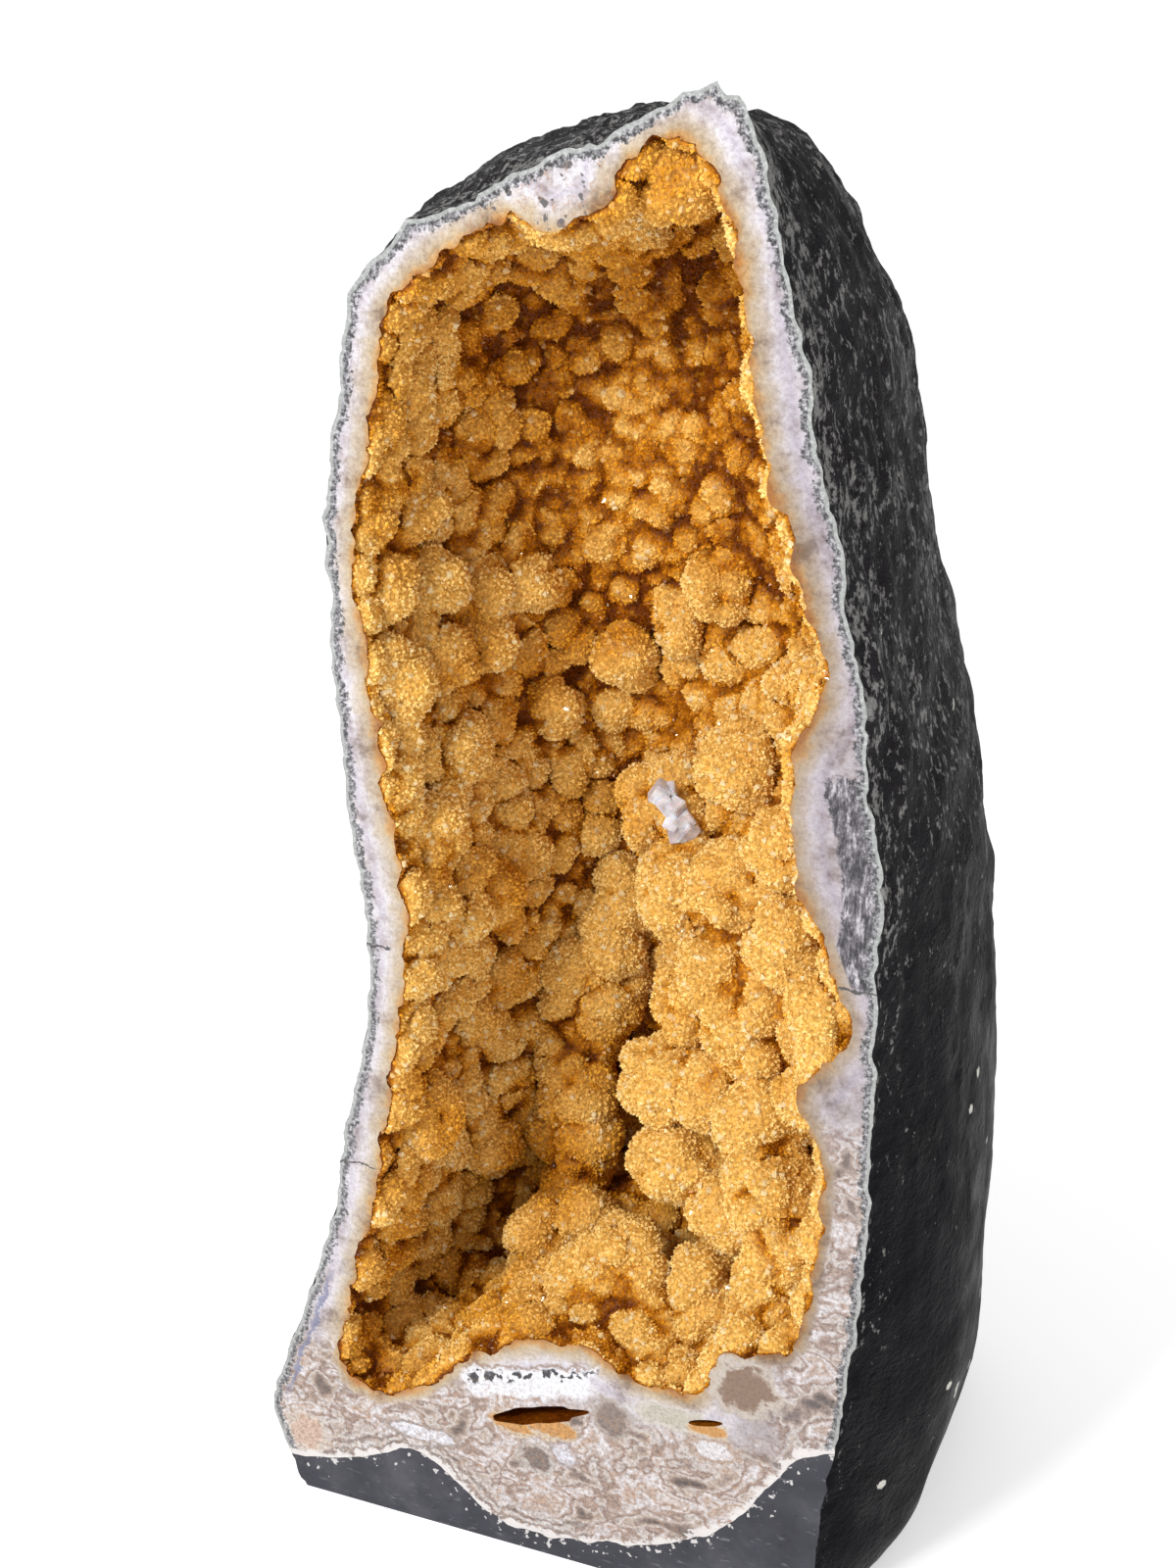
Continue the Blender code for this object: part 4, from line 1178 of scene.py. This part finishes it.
def seam_layers(tree, wander):
    """The strength and the colours of thin pale and brown layers that follow the seam on the left."""
    depth = calc(tree, "MULTIPLY_ADD", wander, 7.0, value_of(tree, "to_seam"))
    waves = calc(tree, "MULTIPLY_ADD", calc(tree, "SINE", calc(tree, "MULTIPLY", depth, 1.5)), 0.5, 0.5)
    colours = ramp(tree, waves, [
        (0.05, (0.13, 0.10, 0.095)), (0.40, (0.34, 0.28, 0.25)), (0.85, (0.58, 0.56, 0.56)),
    ])
    near_seam = remap(tree, depth, 7.0, 14.0, 0.65, 0.0)
    on_left = remap(tree, axis_of(tree, "X"), -0.010, 0.015, 1.0, 0.0)
    return all_of(tree, near_seam, on_left), colours


def in_oval(tree, wander, middle, half_size, ragged=0.35):
    """One inside a ragged oval of the face, given its middle and half sizes (x, z)."""
    place = add_node(tree, "TexCoord").outputs["Object"]
    inputs = {
        "Vector": place,
        "Location": (middle[0], 0, middle[1]),
        "Scale": (half_size[0], 1, half_size[1]),
    }
    scaled = add_node(tree, "Mapping", inputs, vector_type="TEXTURE").outputs["Vector"]
    away = add_node(tree, "VectorMath", {0: scaled}, operation="LENGTH").outputs["Value"]
    return remap(tree, calc(tree, "MULTIPLY_ADD", wander, ragged * 2.4, away), 0.80, 1.04, 1.0, 0.0)


def basalt(tree, grain):
    """Grey-purple rock with fine grainy streaks up and down."""
    streaks = noise_value(tree, 0.0026, detail=3, rough=0.75, stretch=(1, 1, 0.28))
    mixed = calc(tree, "MULTIPLY_ADD", grain, 0.24, calc(tree, "SUBTRACT", streaks, 0.12))
    return ramp(tree, mixed, [
        (0.40, (0.012, 0.011, 0.014)), (0.47, (0.060, 0.053, 0.064)), (0.54, (0.15, 0.135, 0.155)),
        (0.66, (0.48, 0.46, 0.48)),
    ])


def dark_specks(tree, size, share):
    """One on small scattered specks."""
    spots = noise_value(tree, size, detail=2, rough=0.6)
    return remap(tree, spots, share, share + 0.03)


def crack(tree, wander, height, low, high):
    """One along a fine crack that runs across the face at a height, between two places across."""
    waver = calc(tree, "MULTIPLY", wander, 0.004)
    level = calc(tree, "ADD", axis_of(tree, "Z"), waver)
    away = calc(tree, "ABSOLUTE", calc(tree, "SUBTRACT", level, height))
    on_line = remap(tree, away, 0.00025, 0.00055, 1.0, 0.0)
    return all_of(tree, on_line, window(tree, axis_of(tree, "X"), low, high, 0.001))


def agate_material():
    """The sawn face: agate bands, mottled stone below, a basalt notch and a dark speckled rind."""
    material, tree, surface = new_material("sawn_agate", Roughness=0.24, IOR=1.54)
    wander = around_zero(tree, noise_value(tree, 0.007, detail=5, rough=0.6), 1.0)
    across, height = axis_of(tree, "X"), axis_of(tree, "Z")
    grain = noise_value(tree, 0.0016, detail=2, rough=0.8)
    colour = agate_bands(tree, wander)
    low = remap(tree, calc(tree, "MULTIPLY_ADD", wander, 0.016, height), 0.066, 0.084, 1.0, 0.0)
    corner = remap(tree, calc(tree, "MULTIPLY_ADD", wander, 0.014, across), 0.066, 0.080)
    low_right = all_of(tree, corner, window(tree, height, 0.060, 0.215, 0.012), 0.9)
    inward = calc(tree, "MULTIPLY_ADD", wander, 3.0, value_of(tree, "from_hollow"))
    inner_edge = remap(tree, inward, 2.5, 4.5)
    below = calc(tree, "MULTIPLY", calc(tree, "MAXIMUM", low, low_right), inner_edge)
    colour = blend(tree, below, colour, mottled_stone(tree, wander))
    layered, layers = seam_layers(tree, wander)
    colour = blend(tree, layered, colour, layers)
    for middle, half_size, inner, outer in NODULES:
        colour = blend(tree, in_oval(tree, wander, middle, half_size), colour, outer)
        core = (half_size[0] * 0.72, half_size[1] * 0.72)
        colour = blend(tree, in_oval(tree, wander, middle, core), colour, inner)
    colour = pale_sill(tree, colour, wander)
    granular = ramp(tree, grain, [(0.36, (0.58, 0.54, 0.51)), (0.60, (1.12, 1.12, 1.12))])
    grainy = calc(tree, "MULTIPLY_ADD", below, 0.55, 0.45)
    colour = blend(tree, grainy, colour, granular, "MULTIPLY")
    top_left = all_of(tree, window(tree, across, -0.050, 0.008, 0.004), remap(tree, height, 0.498, 0.506))
    colour = blend(tree, all_of(tree, top_left, dark_specks(tree, 0.006, 0.585)), colour, (0.10, 0.09, 0.09))
    rust = noise_value(tree, 0.010, detail=3, rough=0.65, distortion=1.0)
    stained = calc(tree, "ADD", top_left, calc(tree, "MULTIPLY", low, 0.8), clamp=True)
    rusty = all_of(tree, stained, window(tree, rust, 0.49, 0.51, 0.008), 0.6)
    colour = blend(tree, rusty, colour, (0.36, 0.20, 0.11))
    colour = blend(tree, basalt_notch(tree, wander, grain), colour, basalt(tree, grain))
    outward = calc(tree, "MULTIPLY_ADD", wander, 4.5, value_of(tree, "to_outside"))
    outward = calc(tree, "ADD", outward, remap(tree, across, -0.06, 0.06, -0.6, -0.4))
    outward = calc(tree, "MULTIPLY_ADD", around_zero(tree, grain, 1.0), 2.2, outward)
    speckle = ramp(tree, grain, [
        (0.38, (0.012, 0.012, 0.014)), (0.47, (0.085, 0.085, 0.090)), (0.56, (0.23, 0.225, 0.24)),
        (0.68, (0.52, 0.51, 0.52)),
    ])
    colour = blend(tree, remap(tree, outward, 2.4, 3.8, 0.95, 0.0), colour, speckle)
    blue_line = all_of(tree, window(tree, outward, 4.2, 6.2, 0.5), window(tree, height, 0.046, 0.105, 0.008))
    blue_line = all_of(tree, blue_line, calc(tree, "LESS_THAN", across, -0.05), 0.8)
    colour = blend(tree, blue_line, colour, (0.13, 0.14, 0.24))
    skin = calc(tree, "MULTIPLY_ADD", wander, 1.5, value_of(tree, "to_outside"))
    colour = blend(tree, remap(tree, skin, 1.0, 1.6, 0.6, 0.0), colour, (0.40, 0.42, 0.40))
    crumbs = calc(tree, "MULTIPLY_ADD", around_zero(tree, grain, 1.0), 5.0, value_of(tree, "to_seam"))
    crumbs = calc(tree, "MULTIPLY_ADD", wander, 7.0, crumbs)
    colour = blend(tree, remap(tree, crumbs, 1.4, 2.8, 0.9, 0.0), colour, (0.64, 0.61, 0.60))
    for place in CRACKS:
        colour = blend(tree, crack(tree, wander, *place), colour, (0.05, 0.045, 0.045))
    tree.links.new(colour, surface.inputs["Base Color"])
    tree.links.new(bump(tree, grain, 0.00035, 0.6), surface.inputs["Normal"])
    tree.links.new(remap(tree, grain, 0.35, 0.65, 0.20, 0.50), surface.inputs["Roughness"])
    return material


def pale_sill(tree, colour, wander):
    """The white band over the slit with its chain of black specks, and the amber under both slits."""
    bent = calc(tree, "MULTIPLY_ADD", axis_of(tree, "X"), -SILL_SLOPE, axis_of(tree, "Z"))
    level = calc(tree, "MULTIPLY_ADD", wander, 0.008, bent)
    along = calc(tree, "MULTIPLY_ADD", wander, 0.012, axis_of(tree, "X"))
    reach = window(tree, along, -0.052, 0.001, 0.003)
    band = all_of(tree, reach, window(tree, level, SILL_TOP - 0.0135, SILL_TOP - 0.0005, 0.0015))
    colour = blend(tree, band, colour, (0.68, 0.68, 0.72))
    outline = all_of(tree, reach, window(tree, level, SILL_TOP - 0.0006, SILL_TOP + 0.0010, 0.0007), 0.8)
    colour = blend(tree, outline, colour, (0.24, 0.15, 0.10))
    chain = all_of(tree, reach, window(tree, level, SILL_TOP - 0.0062, SILL_TOP - 0.0018, 0.0010))
    colour = blend(tree, all_of(tree, chain, dark_specks(tree, 0.0050, 0.50)), colour, (0.025, 0.025, 0.032))
    for middle, half_size in AMBER_LEDGES:
        edge = in_oval(tree, wander, middle, (half_size[0] * 1.1, half_size[1] * 1.5))
        colour = blend(tree, edge, colour, (0.50, 0.40, 0.29))
        colour = blend(tree, in_oval(tree, wander, middle, half_size), colour, (0.48, 0.235, 0.060))
    return colour


def basalt_notch(tree, wander, grain):
    """The streaked patch between the agate and the rind, halfway up on the right."""
    frayed = around_zero(tree, grain, 1.0)
    outward = calc(tree, "MULTIPLY_ADD", wander, 3.5, value_of(tree, "to_outside"))
    outward = calc(tree, "MULTIPLY_ADD", frayed, 1.5, outward)
    beyond = remap(tree, value_of(tree, "from_hollow"), 4.0, 5.0)
    on_right = calc(tree, "GREATER_THAN", axis_of(tree, "X"), 0.05)
    height = calc(tree, "MULTIPLY_ADD", wander, 0.006, axis_of(tree, "Z"))
    height = calc(tree, "MULTIPLY_ADD", frayed, 0.006, height)
    inside = remap(tree, outward, 12.5, 14.0, 1.0, 0.0)
    return all_of(tree, on_right, inside, window(tree, height, 0.268, 0.341, 0.0015), beyond)


def rock_material():
    """Black paint over rough rock: lighter and worn to pale flecks above, partly real wear and partly painted
    light and highlights; smooth with a few chips below.
    """
    material, tree, surface = new_material("painted_rock", IOR=1.5, Specular_IOR_Level=0.04)
    height = axis_of(tree, "Z")
    high = remap(tree, height, 0.14, 0.40)
    clouds = noise_value(tree, 0.035, detail=4)
    paint = ramp(tree, clouds, [(0.3, (0.002, 0.002, 0.003)), (0.75, (0.007, 0.006, 0.008))])
    # the paint lighter towards the top: partly thinner paint, partly painted light from above
    paint = blend(tree, calc(tree, "MULTIPLY", high, 0.7), paint, (0.026, 0.024, 0.026))
    worn = noise_value(tree, 0.0028, detail=3, rough=0.75, stretch=(1, 1, 0.50))
    patches = around_zero(tree, noise_value(tree, 0.030, detail=2), 0.10)
    near_rim = remap(tree, axis_of(tree, "Y"), 0.002, 0.022, -0.060, 0.0)
    level = calc(tree, "MULTIPLY_ADD", high, -0.140, 0.690)
    edge = calc(tree, "ADD", level, calc(tree, "ADD", patches, near_rim))
    # pale flecks: partly worn paint, partly painted highlights on the rough relief
    flecks_and_painted_highlights = remap(tree, calc(tree, "SUBTRACT", worn, edge), -0.02, 0.10)
    colour = blend(tree, calc(tree, "MULTIPLY", flecks_and_painted_highlights, 0.75), paint, (0.28, 0.275, 0.265))
    cells = add_node(tree, "TexVoronoi", {"Vector": position(tree), "Scale": 55.0, "Randomness": 1.0})
    red = add_node(tree, "SeparateColor", {"Color": cells.outputs["Color"]}).outputs[0]
    chosen = calc(tree, "GREATER_THAN", red, 0.80)
    ragged = calc(tree, "MULTIPLY_ADD", worn, 0.25, cells.outputs["Distance"])
    chips = all_of(tree, chosen, remap(tree, ragged, 0.23, 0.26, 1.0, 0.0))
    colour = blend(tree, chips, colour, (0.62, 0.60, 0.55))
    tree.links.new(colour, surface.inputs["Base Color"])
    tree.links.new(remap(tree, noise_value(tree, 0.02), 0.3, 0.7, 0.34, 0.58), surface.inputs["Roughness"])
    depth = remap(tree, high, 0.0, 1.0, 0.45, 1.0)
    fine = noise_value(tree, 0.0030, detail=3, rough=0.7)
    relief = calc(tree, "ADD", fine, calc(tree, "MULTIPLY", chips, -0.15))
    tree.links.new(bump(tree, calc(tree, "MULTIPLY", relief, depth), 0.0034), surface.inputs["Normal"])
    return material


def cement_material():
    """Slate-grey cement, trowelled smooth, with pinholes darkened by painted shade, and faint scratches."""
    material, tree, surface = new_material("cement", Roughness=0.62, Specular_IOR_Level=0.35)
    colour = ramp(tree, noise_value(tree, 0.030, detail=4, rough=0.65), [
        (0.30, (0.020, 0.021, 0.029)), (0.50, (0.035, 0.036, 0.047)), (0.72, (0.070, 0.070, 0.083)),
    ])
    scratches = noise_value(tree, 0.0020, detail=2, stretch=(0.30, 1, 1.2), distortion=0.6)
    colour = blend(tree, remap(tree, scratches, 0.62, 0.74, 0.0, 0.35), colour, (0.24, 0.24, 0.26))
    drops = noise_value(tree, 0.0030, detail=2)
    spatter = calc(tree, "MULTIPLY_ADD", value_of(tree, "to_seam"), -0.016, drops)
    colour = blend(tree, remap(tree, spatter, 0.56, 0.60, 0.0, 0.9), colour, (0.58, 0.56, 0.55))
    pits = noise_value(tree, 0.0026, detail=2)
    holes = remap(tree, pits, 0.25, 0.31, 1.0, 0.0)
    # painted shade: the pinholes darker inside
    colour = blend(tree, calc(tree, "MULTIPLY", holes, 0.8), colour, (0.020, 0.020, 0.024))
    tree.links.new(colour, surface.inputs["Base Color"])
    height = calc(tree, "SUBTRACT", calc(tree, "MULTIPLY", noise_value(tree, 0.006, detail=5), 0.5), holes)
    tree.links.new(bump(tree, height, 0.0006), surface.inputs["Normal"])
    return material


def calcite_material():
    """White calcite with a lilac cast and clouded patches."""
    material, tree, surface = new_material(
        "calcite", IOR=1.6, Subsurface_Weight=0.25, Subsurface_Scale=0.002)
    clouds = noise_value(tree, 0.004, detail=4)
    colour = ramp(tree, clouds, [
        (0.32, (0.42, 0.38, 0.41)), (0.50, (0.60, 0.57, 0.60)), (0.68, (0.76, 0.75, 0.78)),
    ])
    tree.links.new(colour, surface.inputs["Base Color"])
    tree.links.new(remap(tree, clouds, 0.3, 0.7, 0.45, 0.22), surface.inputs["Roughness"])
    tree.links.new(bump(tree, noise_value(tree, 0.0012, detail=3), 0.0002), surface.inputs["Normal"])
    return material


def floor_material():
    """A plain floor, close to white."""
    material, tree, surface = new_material("pale_floor", Roughness=0.9, Specular_IOR_Level=0.1)
    surface.inputs["Base Color"].default_value = (0.93, 0.93, 0.93, 1)
    surface.inputs["Emission Color"].default_value = (1, 1, 1, 1)
    surface.inputs["Emission Strength"].default_value = FLOOR_GLOW
    return material


def keep(name, data, materials, node, smooth=True):
    """A piece of the visual model, in the face's frame, on the part's one body and in a CAD node's place."""
    made = tool_object(name, data)
    made.location = FACE_ORIGIN
    for material in materials:
        data.materials.append(material)
    if smooth:
        data.shade_smooth()
        data.set_sharp_from_angle(angle=SHARP_ANGLE)
    else:
        data.shade_flat()
    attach(made, "root")
    if node:
        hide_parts(node)


# Blades of the calcite: middle, half sizes and turn of each, and how far their edges are rounded
CALCITE_BLADES = [
    ((-0.0015, 0.0785, 0.2955), (0.0030, 0.0026, 0.0044), (0.3, 0.5, 0.5)),
    ((0.0022, 0.0800, 0.2965), (0.0020, 0.0024, 0.0028), (0.7, -0.3, 0.2)),
    ((0.0012, 0.0775, 0.2915), (0.0034, 0.0024, 0.0030), (-0.2, 0.9, 0.3)),
    ((0.0052, 0.0780, 0.2905), (0.0030, 0.0028, 0.0036), (0.5, 0.2, -0.4)),
    ((0.0075, 0.0785, 0.2862), (0.0036, 0.0026, 0.0034), (0.2, -0.6, 0.5)),
    ((0.0042, 0.0770, 0.2858), (0.0028, 0.0022, 0.0038), (-0.4, 0.4, 0.1)),
    ((0.0092, 0.0790, 0.2812), (0.0028, 0.0026, 0.0042), (0.4, 0.5, 0.8)),
    ((0.0058, 0.0775, 0.2806), (0.0034, 0.0024, 0.0028), (0.1, -0.2, 0.4)),
    ((0.0082, 0.0800, 0.2772), (0.0030, 0.0024, 0.0022), (-0.3, 0.7, 0.2)),
]
BLADE_ROUND = 0.0004
BLADES_FORWARD = 0.0040


def calcite_mesh():
    """Blocky blades stacked from the upper left to the lower right, each with flat faces."""
    mesh = bmesh.new()
    for middle, half_sizes, turns in CALCITE_BLADES:
        middle = Vector(middle) + Vector((0, -BLADES_FORWARD, 0))
        place = Matrix.Translation(middle) @ Euler(turns).to_matrix().to_4x4()
        sized = place @ Matrix.Diagonal((*[2 * half for half in half_sizes], 1))
        made = bmesh.ops.create_cube(mesh, size=1, matrix=sized)
        edges = {edge for vert in made["verts"] for edge in vert.link_edges}
        bmesh.ops.bevel(mesh, geom=list(edges), offset=BLADE_ROUND, segments=2, affect="EDGES")
    bmesh.ops.triangulate(mesh, faces=mesh.faces)
    data = bpy.data.meshes.new("calcite_blades")
    mesh.to_mesh(data)
    mesh.free()
    return data


def make_stone(materials):
    """The rock with its sawn face and the foot under it; gives back the rim of the whole face."""
    stone, rim = stone_mesh()
    block = tool_object("block", box_mesh("block", BLOCK_LOW, BLOCK_HIGH))
    foot_space = tool_object("foot_space", below_seam("foot_space", SEAM_GAP))
    removed = [tool_object("below", below_seam("below", 0.0))]
    removed.append(tool_object("hollow", wall_mesh(CRUST_THICKNESS - OVERLAP, -LIP)))
    removed += [tool_object(f"pocket_{i + 1}", pocket_mesh(i)) for i in range(len(POCKETS))]
    in_block = boolean(block, "INTERSECT")
    steps = [in_block] + [boolean(each, "DIFFERENCE") for each in removed]
    shell = worked("geode_shell", stone.copy(), steps)
    foot = worked("cement_foot", stone, [in_block, boolean(foot_space, "INTERSECT")])
    for cutter in (block, foot_space, *removed):
        bpy.data.objects.remove(cutter)
    front = front_faces(shell, FACE_DEPTH)
    pockets = in_pockets(values_of(shell.polygons, "center", 3), POCKET_MARGIN) & ~front
    paint_faces(shell, front + 2 * pockets)
    paint_faces(foot, front_faces(foot, FACE_DEPTH))
    for data in (shell, foot):
        mark_face(data, rim)
    finishes = [materials["rock"], materials["agate"], materials["base"]]
    keep("geode_shell_stone", shell, finishes, "geode_shell")
    keep("cement_foot_cast", foot, [materials["rock"], materials["cement"]], "cement_foot")
    return rim


def make_crust(materials, rim):
    """The crust in the hollow and the crystals that stand on it."""
    crust = crust_mesh()
    druses = druse_meshes(crust)
    paint_faces(crust, front_faces(crust, SECTION_DEPTH))
    mark_face(crust, rim)
    keep("citrine_crust_body", crust, [materials["base"], materials["agate"]], "citrine_crust")
    for data in druses:
        keep(data.name, data, [materials["citrine"], materials["clear"]], None, smooth=False)


def make_stage():
    """A pale floor, a soft key light from the upper left, a fill from the right and a pale sky."""
    floor = bpy.data.objects.new("floor", box_mesh("floor", (-60, -60, -0.02), (60, 60, 0)))
    bpy.context.scene.collection.objects.link(floor)
    floor.data.materials.append(floor_material())
    for name, place, size, power in LIGHTS:
        light = bpy.data.lights.new(name, "AREA")
        light.size = size
        light.energy = power
        made = bpy.data.objects.new(name, light)
        made.location = place
        made.rotation_euler = (Vector(LIGHTS_AIM) - Vector(place)).to_track_quat("-Z", "Y").to_euler()
        bpy.context.scene.collection.objects.link(made)
    world = bpy.data.worlds.new("sky")
    world.use_nodes = True
    world.node_tree.nodes["Background"].inputs["Color"].default_value = (1, 1, 1, 1)
    world.node_tree.nodes["Background"].inputs["Strength"].default_value = SKY_STRENGTH
    bpy.context.scene.world = world
    bpy.context.scene.view_settings.view_transform = "Standard"


LIGHTS = [
    ("key", (-0.45, -1.20, 1.15), 0.40, 16.5),
    ("fill", (1.30, -0.90, 0.70), 1.2, 1.0),
]
LIGHTS_AIM = (0.0, 0.0, 0.25)
SKY_STRENGTH = 0.68
FLOOR_GLOW = 0.42

# The camera looks down at the face from its right, as the photographer did
CAMERA_TURN = math.radians(22)
CAMERA_DROP = math.radians(22)
CAMERA_REACH = 0.7227
CAMERA_AIM = (0, 0, 0.3270)
LENS = 50
SENSOR = 36


def make_camera():
    way = Vector((
        -math.sin(CAMERA_TURN) * math.cos(CAMERA_DROP),
        math.cos(CAMERA_TURN) * math.cos(CAMERA_DROP),
        -math.sin(CAMERA_DROP),
    ))
    lens = bpy.data.cameras.new("camera")
    lens.sensor_fit = "VERTICAL"
    lens.sensor_height = SENSOR
    lens.lens = LENS
    made = bpy.data.objects.new("camera", lens)
    made.location = FACE_ORIGIN + Vector(CAMERA_AIM) - CAMERA_REACH * way
    made.rotation_euler = way.to_track_quat("-Z", "Y").to_euler()
    bpy.context.scene.collection.objects.link(made)
    bpy.context.scene.camera = made


def main():
    materials = {
        "rock": rock_material(),
        "agate": agate_material(),
        "cement": cement_material(),
        "base": druse_base_material(),
        "citrine": citrine_material(),
        "clear": clear_citrine_material(),
        "calcite": calcite_material(),
    }
    make_camera()
    make_stage()
    rim = make_stone(materials)
    make_crust(materials, rim)
    keep("calcite_blades", calcite_mesh(), [materials["calcite"]], "calcite_cluster")


main()
